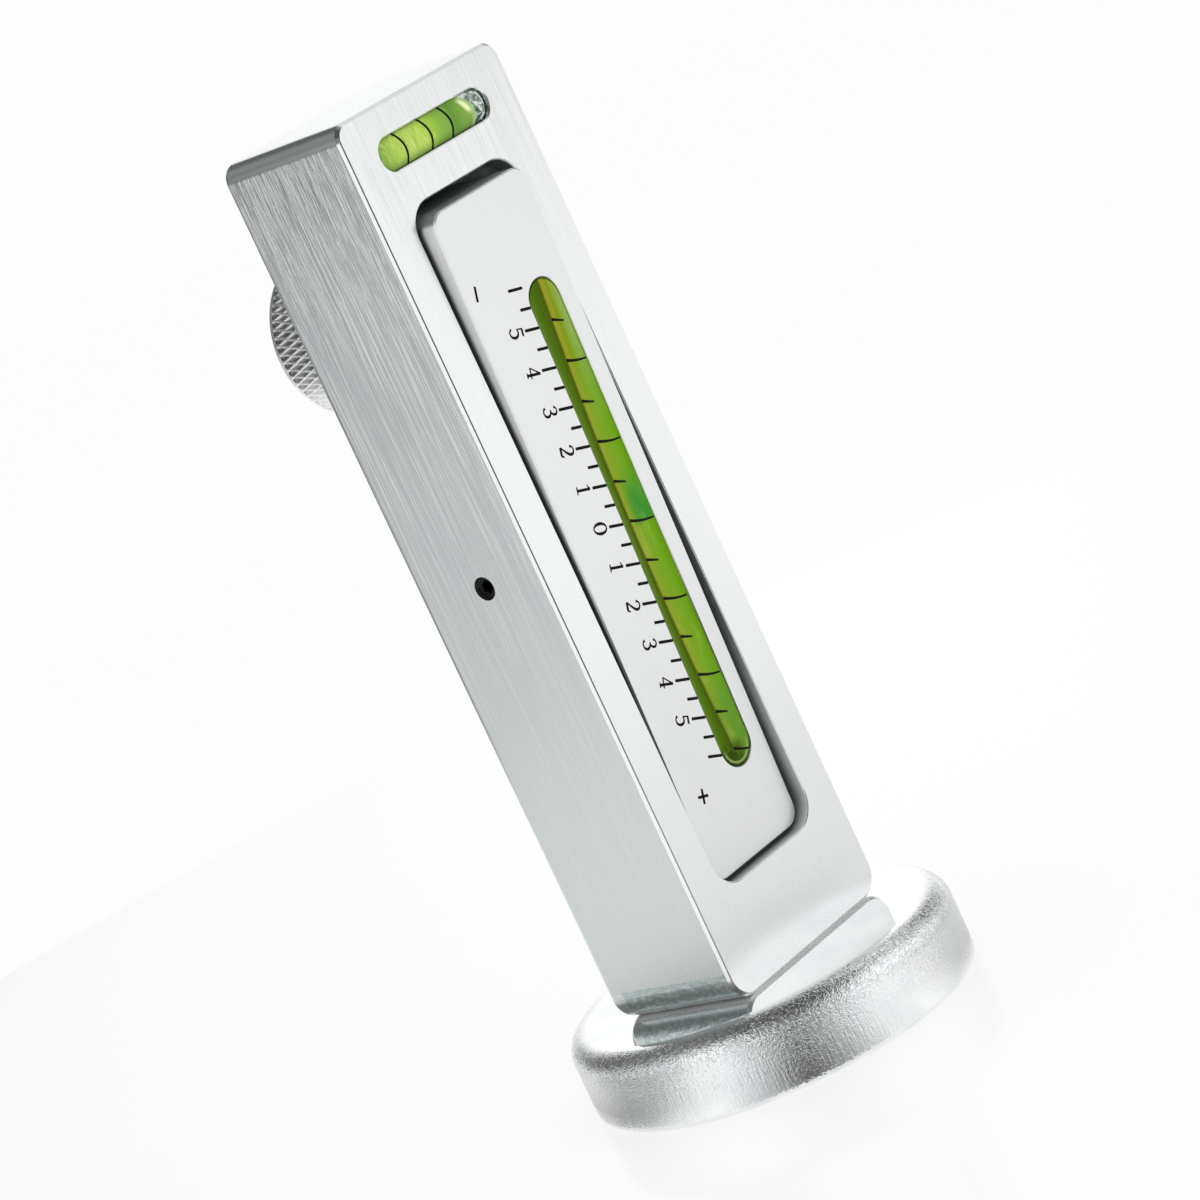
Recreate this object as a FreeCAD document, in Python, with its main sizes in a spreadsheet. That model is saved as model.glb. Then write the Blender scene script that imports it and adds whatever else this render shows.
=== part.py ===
import FreeCAD, Part
import math
import os
import Sketcher

# Camber caster gauge: an aluminium post on a round holding magnet. A level block hangs on two pivot
# screws in the post's pocket, and a knurled knob behind the post tilts it to bring its bubble to zero.
# Frame: millimetres, +Z up the post, front towards -Y, origin at the centre of the magnet's pole face.

doc = FreeCAD.newDocument("CamberCasterGauge")
sheet = doc.addObject("Spreadsheet::Sheet", "Dims")

DIMENSIONS = (
    # holding magnet
    ("magnet_diameter", 60.0),
    ("magnet_height", 12.2),
    ("cup_plate", 4.0),
    ("cup_rim", 4.0),
    ("cup_top_round", 3.4),
    ("cup_foot_chamfer", 0.5),
    ("pole_diameter", 20.0),
    ("ring_thickness", 5.6),
    ("ring_outer_gap", 0.3),
    ("ring_inner_gap", 2.0),
    ("resin_recess", 0.2),
    # screw that holds the magnet to the post
    ("magnet_screw_diameter", 6.0),
    ("magnet_screw_length", 20.0),
    ("magnet_screw_head", 11.6),
    ("magnet_screw_recess", 0.4),
    ("magnet_screw_socket", 4.0),
    ("magnet_screw_socket_depth", 2.4),
    ("screw_hole_clearance", 0.2),
    ("screw_tip_room", 1.3),
    ("thread_clearance", 0.05),
    # post
    ("post_width", 36.6),
    ("post_depth", 23.9),
    ("post_top_wall", 4.65),
    ("post_top_round", 2.5),
    ("post_foot_round", 4.0),
    ("post_front_chamfer", 0.5),
    ("post_back_round", 1.2),
    # pocket in the post's front, and the room that it leaves round the block
    ("pocket_foot", 14.7),
    ("pocket_foot_gap", 1.0),
    ("pocket_head_gap", 1.5),
    ("pocket_side_gap", 1.05),
    ("pocket_back_gap", 4.65),
    ("pocket_round", 4.5),
    ("post_mouth_chamfer", 0.2),
    # pivot
    ("pivot_depth", 11.05),
    ("pivot_screw_diameter", 3.5),
    ("pivot_screw_recess", 0.7),
    ("pivot_screw_socket", 1.8),
    ("pivot_screw_socket_depth", 1.8),
    ("pivot_point_diameter", 2.2),
    ("pivot_point_reach", 2.0),
    ("pivot_shoulder_gap", 0.2),
    ("pivot_clearance", 0.04),
    ("bush_wall", 1.1),
    ("bush_length", 2.5),
    # level block
    ("block_width", 21.5),
    ("block_height", 103.5),
    ("block_thickness", 14.2),
    ("block_proud", 0.2),
    ("block_drop", 0.55),
    ("block_round", 2.75),
    ("block_front_chamfer", 0.25),
    ("rest_tilt", 2.3),
    # camber vial: a clear bar with a bent chamber
    ("camber_slot_width", 6.7),
    ("camber_slot_length", 76.15),
    ("camber_slot_across", 4.25),
    ("camber_slot_drop", 2.12),
    ("camber_slot_chamfer", 0.12),
    ("camber_zero_drop", 0.5),
    ("degree_pitch", 6.08),
    ("camber_bar_depth", 8.3),
    ("camber_chamber_radius", 2.3),
    ("camber_cover", 0.8),
    ("camber_end_wall", 0.8),
    ("camber_air_gap", 1.6),
    # cross vial: a clear bar with a straight chamber
    ("cross_bridge", 5.35),
    ("cross_slot_width", 24.2),
    ("cross_slot_height", 4.9),
    ("cross_bar_depth", 6.4),
    ("cross_chamber_radius", 1.9),
    ("cross_cover", 1.7),
    ("cross_end_wall", 0.8),
    ("cross_bubble", 3.6),
    ("cross_meniscus_radius", 3.0),
    ("cross_ring_pitch", 5.2),
    ("cross_ring_width", 0.4),
    ("cross_ring_depth", 0.15),
    # both vials
    ("vial_clearance", 0.05),
    ("vial_sink", 0.05),
    ("vial_bed", 0.3),
    ("liquid_film", 0.02),
    ("drill_point_angle", 59.0),
    ("vial_plug_radius", 0.6),
    # adjuster
    ("feed_arm", 38.0),
    ("feed_screw_diameter", 6.0),
    ("feed_screw_chamfer", 0.5),
    ("feed_screw_socket", 3.0),
    ("feed_screw_socket_depth", 2.5),
    ("feed_screw_end_recess", 0.6),
    ("ball_diameter", 3.5),
    ("ball_clearance", 0.05),
    ("ball_seat_angle", 45.0),
    ("ball_seat_setback", 0.3),
    ("contact_gap", 0.08),
    ("button_diameter", 6.0),
    ("button_thickness", 2.0),
    ("bushing_diameter", 9.0),
    ("bushing_flange", 13.0),
    ("bushing_flange_thickness", 1.2),
    ("knob_diameter", 24.0),
    ("knob_thickness", 9.0),
    ("knob_gap", 3.0),
    ("knob_bore_clearance", 0.02),
    ("knob_chamfer", 0.8),
    ("knob_dish_diameter", 15.0),
    ("knob_dish_depth", 0.8),
    ("grub_diameter", 3.0),
    ("grub_length", 6.0),
    ("grub_socket", 1.5),
    ("grub_socket_depth", 1.5),
    ("grub_gap", 0.05),
    # return spring
    ("spring_wire_width", 0.9),
    ("spring_wire_thickness", 0.5),
    ("spring_diameter", 5.4),
    ("spring_turns", 5.5),
    ("spring_end_gap", 0.1),
    ("spring_side_room", 0.9),
    ("spring_block_seat", 2.4),
    ("spring_post_seat", 3.2),
)

for row, (alias, size) in enumerate(DIMENSIONS, 1):
    sheet.set(f"A{row}", alias)
    sheet.set(f"B{row}", str(size))
    sheet.setAlias(f"B{row}", alias)
doc.recompute()

# The post is built up from its foot: the pocket that holds the block, a bridge, the cross vial's slot
POCKET_WIDTH = "(Dims.block_width + 2 * Dims.pocket_side_gap)"
POCKET_HEIGHT = "(Dims.block_height + Dims.pocket_foot_gap + Dims.pocket_head_gap)"
POCKET_DEPTH = "(Dims.block_thickness - Dims.block_proud + Dims.pocket_back_gap)"
PIVOT_HEIGHT = "(Dims.pocket_foot + Dims.pocket_foot_gap + Dims.block_height / 2 + Dims.block_drop)"
CROSS_HEIGHT = f"(Dims.pocket_foot + {POCKET_HEIGHT} + Dims.cross_bridge + Dims.cross_slot_height / 2)"
POST_HEIGHT = f"({CROSS_HEIGHT} + Dims.cross_slot_height / 2 + Dims.post_top_wall)"

# Places in the part's frame
POST_FRONT = "(-Dims.post_depth / 2)"
PIVOT_Y = "(Dims.pivot_depth - Dims.post_depth / 2)"
PIVOT_Z = f"(Dims.magnet_height + {PIVOT_HEIGHT})"
POCKET_FLOOR = f"({POCKET_DEPTH} - Dims.post_depth / 2)"
BACK_WALL = f"(Dims.post_depth - {POCKET_DEPTH})"
CROSS_Z = f"(Dims.magnet_height + {CROSS_HEIGHT})"

# Places in the level block's frame, whose origin is on the pivot axis
BLOCK_FRONT = "(-Dims.pivot_depth - Dims.block_proud)"
BLOCK_BACK = "(Dims.block_thickness - Dims.pivot_depth - Dims.block_proud)"
CAMBER_BAR_FRONT = f"({BLOCK_FRONT} + Dims.vial_sink)"
CAMBER_TOP = "(Dims.camber_slot_length / 2 - Dims.camber_slot_drop - Dims.vial_clearance)"
CAMBER_FOOT = "(-Dims.camber_slot_length / 2 - Dims.camber_slot_drop + Dims.vial_clearance)"

# The block's back leans with the block. Its distance behind the pivot axis is measured at the height
# of the adjuster, above the pivot, and at the height of the spring, as far below it.
BACK_AT_ADJUSTER = f"(({BLOCK_BACK} - Dims.feed_arm * sin(Dims.rest_tilt)) / cos(Dims.rest_tilt))"
BACK_AT_SPRING = f"(({BLOCK_BACK} + Dims.feed_arm * sin(Dims.rest_tilt)) / cos(Dims.rest_tilt))"
BALL_REACH = "((Dims.ball_diameter / 2 + Dims.contact_gap) / cos(Dims.rest_tilt))"
BALL_Y = f"({PIVOT_Y} + {BACK_AT_ADJUSTER} + {BALL_REACH})"
KNOB_Y = "(Dims.post_depth / 2 + Dims.knob_gap)"
FEED_Z = f"({PIVOT_Z} + Dims.feed_arm)"
SPRING_Z = f"({PIVOT_Z} - Dims.feed_arm)"

ORIGIN = FreeCAD.Vector(0, 0, 0)
X_AXIS = FreeCAD.Vector(1, 0, 0)
Y_AXIS = FreeCAD.Vector(0, 1, 0)
Z_AXIS = FreeCAD.Vector(0, 0, 1)
CLOSE = 1e-4


def number(expression):
    """The present value of an expression over the sheet's cells."""
    return float(sheet.evalExpression(expression))


# ---- sketches -------------------------------------------------------------------------------------


def new_body(label):
    body = doc.addObject("PartDesign::Body", label)
    body.Label = label
    return body


def origin_item(body, role):
    return next(item for item in body.Origin.OriginFeatures if item.Role == role)


def new_sketch(body, name, role, across="0", up="0", out="0"):
    """A sketch on one of the body's origin planes, moved across, up and out along the plane's normal."""
    sketch = body.newObject("Sketcher::SketchObject", name)
    sketch.AttachmentSupport = [(origin_item(body, role), "")]
    sketch.MapMode = "FlatFace"
    for axis, expression in (("x", across), ("y", up), ("z", out)):
        if expression != "0":
            sketch.setExpression(f"AttachmentOffset.Base.{axis}", expression)
    return sketch


def bind(sketch, kind, elements, expression):
    """A size constraint whose value follows an expression."""
    index = sketch.addConstraint(Sketcher.Constraint(kind, *elements, number(expression)))
    sketch.setExpression(f"Constraints[{index}]", expression)


def place_point(sketch, edge, point, across, up):
    bind(sketch, "DistanceX", (-1, 1, edge, point), across)
    bind(sketch, "DistanceY", (-1, 1, edge, point), up)


def draw_polygon(sketch, corners):
    """A closed outline of straight edges through corners given as pairs of expressions."""
    points = [FreeCAD.Vector(number(across), number(up), 0) for across, up in corners]
    count = len(corners)
    edges = [sketch.addGeometry(Part.LineSegment(points[i], points[(i + 1) % count])) for i in range(count)]
    for i in range(count):
        sketch.addConstraint(Sketcher.Constraint("Coincident", edges[i], 2, edges[(i + 1) % count], 1))
    for edge, (across, up) in zip(edges, corners):
        place_point(sketch, edge, 1, across, up)


def draw_circle(sketch, diameter):
    edge = sketch.addGeometry(Part.Circle(ORIGIN, Z_AXIS, number(diameter) / 2))
    sketch.addConstraint(Sketcher.Constraint("Coincident", edge, 3, -1, 1))
    bind(sketch, "Diameter", (edge,), diameter)


def draw_hexagon(sketch, across_flats):
    half = f"({across_flats} / 2)"
    point = f"({across_flats} / sqrt(3))"
    draw_polygon(sketch, (
        (half, f"{point} / 2"),
        ("0", point),
        (f"-{half}", f"{point} / 2"),
        (f"-{half}", f"-{point} / 2"),
        ("0", f"-{point}"),
        (half, f"-{point} / 2"),
    ))


def arc(centre, radius, start, end):
    """An arc drawn anticlockwise, with its start and end counted in quarter turns."""
    quarter = math.pi / 2
    return Part.ArcOfCircle(Part.Circle(centre, Z_AXIS, radius), start * quarter, end * quarter)


def join(sketch, first, second):
    """The end of one edge runs smoothly into the start of the next."""
    sketch.addConstraint(Sketcher.Constraint("Tangent", first, 2, second, 1))


def draw_stadium(sketch, length, width, upright=False):
    """A slot outline about the sketch's origin, with half-circle ends."""
    reach = f"(({length} - {width}) / 2)"
    radius = f"({width} / 2)"
    far, wide = number(reach), number(radius)
    vector = (lambda along, side: FreeCAD.Vector(-side, along, 0)) if upright else FreeCAD.Vector
    quarters = 1 if upright else 0
    first_end = sketch.addGeometry(arc(vector(far, 0), wide, quarters - 1, quarters + 1))
    far_side = sketch.addGeometry(Part.LineSegment(vector(far, wide), vector(-far, wide)))
    last_end = sketch.addGeometry(arc(vector(-far, 0), wide, quarters + 1, quarters + 3))
    near_side = sketch.addGeometry(Part.LineSegment(vector(-far, -wide), vector(far, -wide)))
    outline = (first_end, far_side, last_end, near_side)
    for i in range(4):
        join(sketch, outline[i], outline[(i + 1) % 4])
    along = "DistanceY" if upright else "DistanceX"
    for end, distance in ((first_end, reach), (last_end, f"-{reach}")):
        sketch.addConstraint(Sketcher.Constraint("PointOnObject", end, 3, -2 if upright else -1))
        bind(sketch, along, (-1, 1, end, 3), distance)
    sketch.addConstraint(Sketcher.Constraint("Equal", first_end, last_end))
    bind(sketch, "Radius", (first_end,), radius)


def draw_rounded_rectangle(sketch, width, height, foot_radius, top_radius):
    """A rectangle about the sketch's origin, with one radius at its lower corners and one at its upper."""
    side, rise = number(width) / 2, number(height) / 2
    low, high = number(foot_radius), number(top_radius)
    vector = FreeCAD.Vector
    outline = [sketch.addGeometry(edge) for edge in (
        Part.LineSegment(vector(-side + low, -rise, 0), vector(side - low, -rise, 0)),
        arc(vector(side - low, -rise + low, 0), low, 3, 4),
        Part.LineSegment(vector(side, -rise + low, 0), vector(side, rise - high, 0)),
        arc(vector(side - high, rise - high, 0), high, 0, 1),
        Part.LineSegment(vector(side - high, rise, 0), vector(-side + high, rise, 0)),
        arc(vector(-side + high, rise - high, 0), high, 1, 2),
        Part.LineSegment(vector(-side, rise - high, 0), vector(-side, -rise + low, 0)),
        arc(vector(-side + low, -rise + low, 0), low, 2, 3),
    )]
    for i in range(8):
        join(sketch, outline[i], outline[(i + 1) % 8])
    for edge, direction in zip(outline[::2], ("Horizontal", "Vertical") * 2):
        sketch.addConstraint(Sketcher.Constraint(direction, edge))
    bind(sketch, "DistanceY", (-1, 1, outline[0], 1), f"-{height} / 2")
    bind(sketch, "DistanceX", (-1, 1, outline[2], 1), f"{width} / 2")
    bind(sketch, "DistanceY", (-1, 1, outline[4], 1), f"{height} / 2")
    bind(sketch, "DistanceX", (-1, 1, outline[6], 1), f"-{width} / 2")
    for edge, radius in zip(outline[1::2], (foot_radius, top_radius, top_radius, foot_radius)):
        bind(sketch, "Radius", (edge,), radius)


# ---- features -------------------------------------------------------------------------------------


def pad(body, name, sketch, length, reverse=False, symmetric=False):
    feature = body.newObject("PartDesign::Pad", name)
    feature.Profile = sketch
    feature.setExpression("Length", length)
    feature.Midplane = symmetric
    feature.Reversed = reverse
    doc.recompute()
    return feature


def pocket(body, name, sketch, depth, reverse=False, symmetric=False):
    """A cut against the sketch's normal, or along it when reversed."""
    before = body.Shape.Volume
    feature = body.newObject("PartDesign::Pocket", name)
    feature.Profile = sketch
    feature.setExpression("Length", depth)
    feature.Midplane = symmetric
    feature.Reversed = reverse
    doc.recompute()
    if body.Shape.Volume > before - CLOSE:
        raise RuntimeError(f"{name} cuts nothing")
    return feature


def revolve(body, name, sketch, axis):
    feature = body.newObject("PartDesign::Revolution", name)
    feature.Profile = sketch
    feature.ReferenceAxis = (sketch, [axis])
    feature.Angle = 360
    doc.recompute()
    return feature


def soften(body, name, kind, size, wanted):
    """A Fillet or a Chamfer on the edges of the body's last feature that the test picks."""
    base = body.Tip
    edges = [f"Edge{i}" for i, edge in enumerate(base.Shape.Edges, 1) if wanted(edge)]
    if not edges:
        raise RuntimeError(f"{name} finds no edge")
    feature = body.newObject(f"PartDesign::{kind}", name)
    feature.Base = (base, edges)
    feature.setExpression("Radius" if kind == "Fillet" else "Size", size)
    doc.recompute()
    return feature


def lies_at(edge, axis, along):
    """Whether an edge lies wholly in the plane across an axis at a distance along it."""
    box = edge.BoundBox
    low = getattr(box, f"{axis}Min")
    high = getattr(box, f"{axis}Max")
    return abs(low - along) < CLOSE and abs(high - along) < CLOSE


def place(item, across="0", back="0", up="0"):
    for axis, expression in (("x", across), ("y", back), ("z", up)):
        if expression != "0":
            item.setExpression(f"Placement.Base.{axis}", expression)
    return item


def turn(item, axis, angle):
    item.Placement.Rotation = FreeCAD.Rotation(axis, angle)
    return item


def hang_on_pivot(item):
    """Carries a piece drawn in the level block's frame to its place at rest."""
    item.Placement.Rotation = FreeCAD.Rotation(X_AXIS, 1)
    item.setExpression("Placement.Rotation.Angle", "Dims.rest_tilt")
    return place(item, back=PIVOT_Y, up=PIVOT_Z)


def new_cylinder(name, radius, height):
    item = doc.addObject("Part::Cylinder", name)
    item.setExpression("Radius", radius)
    item.setExpression("Height", height)
    return item


def new_cone(name, radius, height):
    item = doc.addObject("Part::Cone", name)
    item.setExpression("Radius1", radius)
    item.Radius2 = 0
    item.setExpression("Height", height)
    return item


def new_sphere(name, radius):
    item = doc.addObject("Part::Sphere", name)
    item.setExpression("Radius", radius)
    return item


def fuse(name, items):
    item = doc.addObject("Part::MultiFuse", name)
    item.Shapes = items
    return item


def cut(label, base, tool):
    item = doc.addObject("Part::Cut", label)
    item.Label = label
    item.Base = base
    item.Tool = tool
    return item


def compound(label, items):
    item = doc.addObject("Part::Compound", label)
    item.Label = label
    item.Links = items
    return item


def mirrored(name, source):
    """The same piece on the other side of the part's middle plane."""
    item = doc.addObject("Part::Mirroring", name)
    item.Source = source
    item.Normal = X_AXIS
    return item


# ---- holding magnet -------------------------------------------------------------------------------

CUP_INSIDE = "(Dims.magnet_diameter / 2 - Dims.cup_rim)"
CUP_ROOM = "(Dims.magnet_height - Dims.cup_plate)"
MAGNET_SCREW_HOLE = "(Dims.magnet_screw_diameter / 2 + Dims.screw_hole_clearance)"
HEAD_HEIGHT = "((Dims.magnet_screw_head - Dims.magnet_screw_diameter) / 2)"


def make_magnet_cup():
    body = new_body("magnet_cup")
    sketch = new_sketch(body, "cup_section", "XZ_Plane")
    draw_polygon(sketch, (
        (MAGNET_SCREW_HOLE, CUP_ROOM),
        (CUP_INSIDE, CUP_ROOM),
        (CUP_INSIDE, "0"),
        ("Dims.magnet_diameter / 2", "0"),
        ("Dims.magnet_diameter / 2", "Dims.magnet_height"),
        (MAGNET_SCREW_HOLE, "Dims.magnet_height"),
    ))
    revolve(body, "cup", sketch, "V_Axis")
    outside = number("Dims.magnet_diameter / 2")
    top = number("Dims.magnet_height")

    def outer_circle(edge, height):
        return lies_at(edge, "Z", height) and abs(edge.BoundBox.XMax - outside) < CLOSE

    soften(body, "cup_top_rounding", "Fillet", "Dims.cup_top_round", lambda edge: outer_circle(edge, top))
    soften(body, "cup_foot_bevel", "Chamfer", "Dims.cup_foot_chamfer", lambda edge: outer_circle(edge, 0))
    return body


def make_centre_pole():
    """The steel core, countersunk for the screw's head from below."""
    body = new_body("centre_pole")
    sketch = new_sketch(body, "pole_section", "XZ_Plane")
    sink_radius = f"({MAGNET_SCREW_HOLE} + {HEAD_HEIGHT})"
    draw_polygon(sketch, (
        (sink_radius, "0"),
        ("Dims.pole_diameter / 2", "0"),
        ("Dims.pole_diameter / 2", CUP_ROOM),
        (MAGNET_SCREW_HOLE, CUP_ROOM),
        (MAGNET_SCREW_HOLE, f"{HEAD_HEIGHT} + Dims.magnet_screw_recess"),
        (sink_radius, "Dims.magnet_screw_recess"),
    ))
    revolve(body, "pole", sketch, "V_Axis")
    return body


def make_ring(label, inner, outer, foot, top):
    """A flat ring about the post's axis."""
    body = new_body(label)
    sketch = new_sketch(body, f"{label}_section", "XZ_Plane")
    draw_polygon(sketch, ((inner, foot), (outer, foot), (outer, top), (inner, top)))
    revolve(body, f"{label}_turned", sketch, "V_Axis")
    return body


RING_FOOT = f"({CUP_ROOM} - Dims.ring_thickness)"


def make_ring_magnet():
    inner = "Dims.pole_diameter / 2 + Dims.ring_inner_gap"
    outer = f"{CUP_INSIDE} - Dims.ring_outer_gap"
    return make_ring("ring_magnet", inner, outer, RING_FOOT, CUP_ROOM)


def make_magnet_resin():
    return make_ring("magnet_resin", "Dims.pole_diameter / 2", CUP_INSIDE, "Dims.resin_recess", RING_FOOT)


def make_magnet_screw():
    body = new_body("magnet_screw")
    sketch = new_sketch(body, "magnet_screw_section", "XZ_Plane")
    shank = "Dims.magnet_screw_diameter / 2"
    draw_polygon(sketch, (
        ("0", "0"),
        ("Dims.magnet_screw_head / 2", "0"),
        (shank, HEAD_HEIGHT),
        (shank, "Dims.magnet_screw_length"),
        ("0", "Dims.magnet_screw_length"),
    ))
    revolve(body, "magnet_screw_turned", sketch, "V_Axis")
    socket = new_sketch(body, "magnet_screw_socket_outline", "XY_Plane")
    draw_hexagon(socket, "Dims.magnet_screw_socket")
    pocket(body, "magnet_screw_drive", socket, "Dims.magnet_screw_socket_depth", reverse=True)
    return place(body, up="Dims.magnet_screw_recess")


# ---- post -----------------------------------------------------------------------------------------

SPRING_BORE = "(Dims.spring_diameter + Dims.spring_side_room)"


def make_post_body():
    body = new_body("post_body")
    front = "Dims.post_depth / 2"
    outline = new_sketch(body, "post_outline", "XZ_Plane", up=f"{POST_HEIGHT} / 2")
    draw_rounded_rectangle(
        outline, "Dims.post_width", POST_HEIGHT, "Dims.post_foot_round", "Dims.post_top_round"
    )
    pad(body, "post_block", outline, "Dims.post_depth", symmetric=True)
    half_depth = number(front)

    def at_front(edge):
        return lies_at(edge, "Y", -half_depth)

    def at_back(edge):
        return lies_at(edge, "Y", half_depth)

    soften(body, "front_edges", "Chamfer", "Dims.post_front_chamfer", at_front)
    soften(body, "back_edges", "Fillet", "Dims.post_back_round", at_back)

    middle = f"Dims.pocket_foot + {POCKET_HEIGHT} / 2"
    recess = new_sketch(body, "pocket_outline", "XZ_Plane", up=middle, out=front)
    draw_rounded_rectangle(
        recess, POCKET_WIDTH, POCKET_HEIGHT, "Dims.pocket_round", "Dims.pocket_round"
    )
    pocket(body, "block_pocket", recess, POCKET_DEPTH)

    cross = new_sketch(body, "cross_slot_outline", "XZ_Plane", up=CROSS_HEIGHT, out=front)
    draw_stadium(cross, "Dims.cross_slot_width", "Dims.cross_slot_height")
    pocket(body, "cross_slot", cross, "Dims.vial_sink + Dims.cross_bar_depth + Dims.vial_bed")

    pivot = new_sketch(body, "pivot_hole_outline", "YZ_Plane", across=PIVOT_Y, up=PIVOT_HEIGHT)
    draw_circle(pivot, "Dims.pivot_screw_diameter + 2 * Dims.thread_clearance")
    pocket(body, "pivot_holes", pivot, "2 * Dims.post_width", symmetric=True)

    feed_height = f"{PIVOT_HEIGHT} + Dims.feed_arm"
    feed = new_sketch(body, "bushing_hole_outline", "XZ_Plane", up=feed_height, out=f"-{front}")
    draw_circle(feed, "Dims.bushing_diameter")
    pocket(body, "bushing_hole", feed, BACK_WALL, reverse=True)

    spring_height = f"{PIVOT_HEIGHT} - Dims.feed_arm"
    seat = new_sketch(body, "spring_seat_outline", "XZ_Plane", up=spring_height, out=f"-{POCKET_FLOOR}")
    draw_circle(seat, SPRING_BORE)
    pocket(body, "spring_seat", seat, "Dims.spring_post_seat")

    foot = new_sketch(body, "magnet_screw_hole_outline", "XY_Plane")
    draw_circle(foot, "Dims.magnet_screw_diameter + 2 * Dims.thread_clearance")
    reach = "Dims.magnet_screw_recess + Dims.magnet_screw_length - Dims.magnet_height + Dims.screw_tip_room"
    pocket(body, "magnet_screw_hole", foot, reach, reverse=True)

    # the pocket's and the cross slot's mouths, which lie within the wider of the two
    mouth_reach = max(number("Dims.cross_slot_width"), number(POCKET_WIDTH)) / 2 + CLOSE

    def mouth(edge):
        box = edge.BoundBox
        return at_front(edge) and box.XMin > -mouth_reach and box.XMax < mouth_reach

    soften(body, "mouth_edges", "Chamfer", "Dims.post_mouth_chamfer", mouth)
    return place(body, up="Dims.magnet_height")


def make_pivot_screws():
    """Two grub screws whose plain points carry the block's bushes."""
    body = new_body("right_pivot_screw")
    sketch = new_sketch(body, "pivot_screw_section", "XY_Plane")
    outer = "(Dims.post_width / 2 - Dims.pivot_screw_recess)"
    shoulder = f"({POCKET_WIDTH} / 2 + Dims.pivot_shoulder_gap)"
    tip = "(Dims.block_width / 2 - Dims.pivot_point_reach)"
    draw_polygon(sketch, (
        (tip, "0"),
        (outer, "0"),
        (outer, "Dims.pivot_screw_diameter / 2"),
        (shoulder, "Dims.pivot_screw_diameter / 2"),
        (shoulder, "Dims.pivot_point_diameter / 2"),
        (tip, "Dims.pivot_point_diameter / 2"),
    ))
    revolve(body, "pivot_screw_turned", sketch, "H_Axis")
    socket = new_sketch(body, "pivot_screw_socket_outline", "YZ_Plane", out=outer)
    draw_hexagon(socket, "Dims.pivot_screw_socket")
    pocket(body, "pivot_screw_drive", socket, "Dims.pivot_screw_socket_depth")
    pair = compound("pivot_screws", [body, mirrored("left_pivot_screw", body)])
    return place(pair, back=PIVOT_Y, up=PIVOT_Z)


def make_screw_bushing():
    """The flanged brass nut in the back wall."""
    body = new_body("screw_bushing")
    sketch = new_sketch(body, "bushing_section", "XY_Plane")
    bore = "Dims.feed_screw_diameter / 2 + Dims.thread_clearance"
    back = "Dims.post_depth / 2"
    draw_polygon(sketch, (
        (bore, POCKET_FLOOR),
        ("Dims.bushing_diameter / 2", POCKET_FLOOR),
        ("Dims.bushing_diameter / 2", back),
        ("Dims.bushing_flange / 2", back),
        ("Dims.bushing_flange / 2", f"{back} + Dims.bushing_flange_thickness"),
        (bore, f"{back} + Dims.bushing_flange_thickness"),
    ))
    revolve(body, "bushing_turned", sketch, "V_Axis")
    return place(body, up=FEED_Z)


def make_return_spring():
    """The flat-wire spring that holds the block's upper end against the adjuster's ball."""
    body = new_body("return_spring")
    outer = "Dims.spring_diameter / 2"
    inner = f"({outer} - Dims.spring_wire_width)"
    start = f"({PIVOT_Y} + {BACK_AT_SPRING} - Dims.spring_block_seat + Dims.spring_end_gap)"
    end = f"({POCKET_FLOOR} + Dims.spring_post_seat - Dims.spring_end_gap)"
    sketch = new_sketch(body, "wire_section", "XY_Plane", up=start)
    thickness = "Dims.spring_wire_thickness"
    draw_polygon(sketch, ((inner, "0"), (outer, "0"), (outer, thickness), (inner, thickness)))
    coil = body.newObject("PartDesign::AdditiveHelix", "coil")
    coil.Profile = sketch
    coil.ReferenceAxis = (origin_item(body, "Y_Axis"), [""])
    coil.Mode = 2
    coil.setExpression("Height", f"{end} - {start} - {thickness}")
    coil.setExpression("Turns", "Dims.spring_turns")
    doc.recompute()
    return place(body, up=SPRING_Z)


# ---- cross vial -----------------------------------------------------------------------------------

CROSS_BAR_LENGTH = "(Dims.cross_slot_width - 2 * Dims.vial_clearance)"
CROSS_BAR_HEIGHT = "(Dims.cross_slot_height - 2 * Dims.vial_clearance)"
CROSS_CENTRE_DEPTH = "(Dims.vial_sink + Dims.cross_cover + Dims.cross_chamber_radius)"
CROSS_CHAMBER_HALF = f"({CROSS_BAR_LENGTH} / 2 - Dims.cross_end_wall)"
POINT_DEPTH = "({radius} / tan(Dims.drill_point_angle))"


def lying_rod(name, radius, half_length):
    """A drilled chamber along X about the origin, with the drill's points at the half length."""
    point = POINT_DEPTH.format(radius=radius)
    straight = f"({half_length} - {point})"
    rod = new_cylinder(f"{name}_rod", radius, f"2 * {straight}")
    place(turn(rod, Y_AXIS, 90), across=f"-{straight}")
    right = new_cone(f"{name}_right", radius, point)
    place(turn(right, Y_AXIS, 90), across=straight)
    left = new_cone(f"{name}_left", radius, point)
    place(turn(left, Y_AXIS, -90), across=f"-{straight}")
    return fuse(name, [rod, right, left])


def ring_cylinders(name, radius):
    """Three flat cylinders along X, where the rings stand."""
    rings = []
    for step in (-1, 0, 1):
        ring = new_cylinder(f"{name}_{step + 2}", radius, "Dims.cross_ring_width")
        turn(ring, Y_AXIS, 90)
        place(ring, across=f"{step} * Dims.cross_ring_pitch - Dims.cross_ring_width / 2")
        rings.append(ring)
    return rings


def carry_to_cross_slot(item):
    return place(item, back=f"{POST_FRONT} + {CROSS_CENTRE_DEPTH}", up=CROSS_Z)


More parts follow.
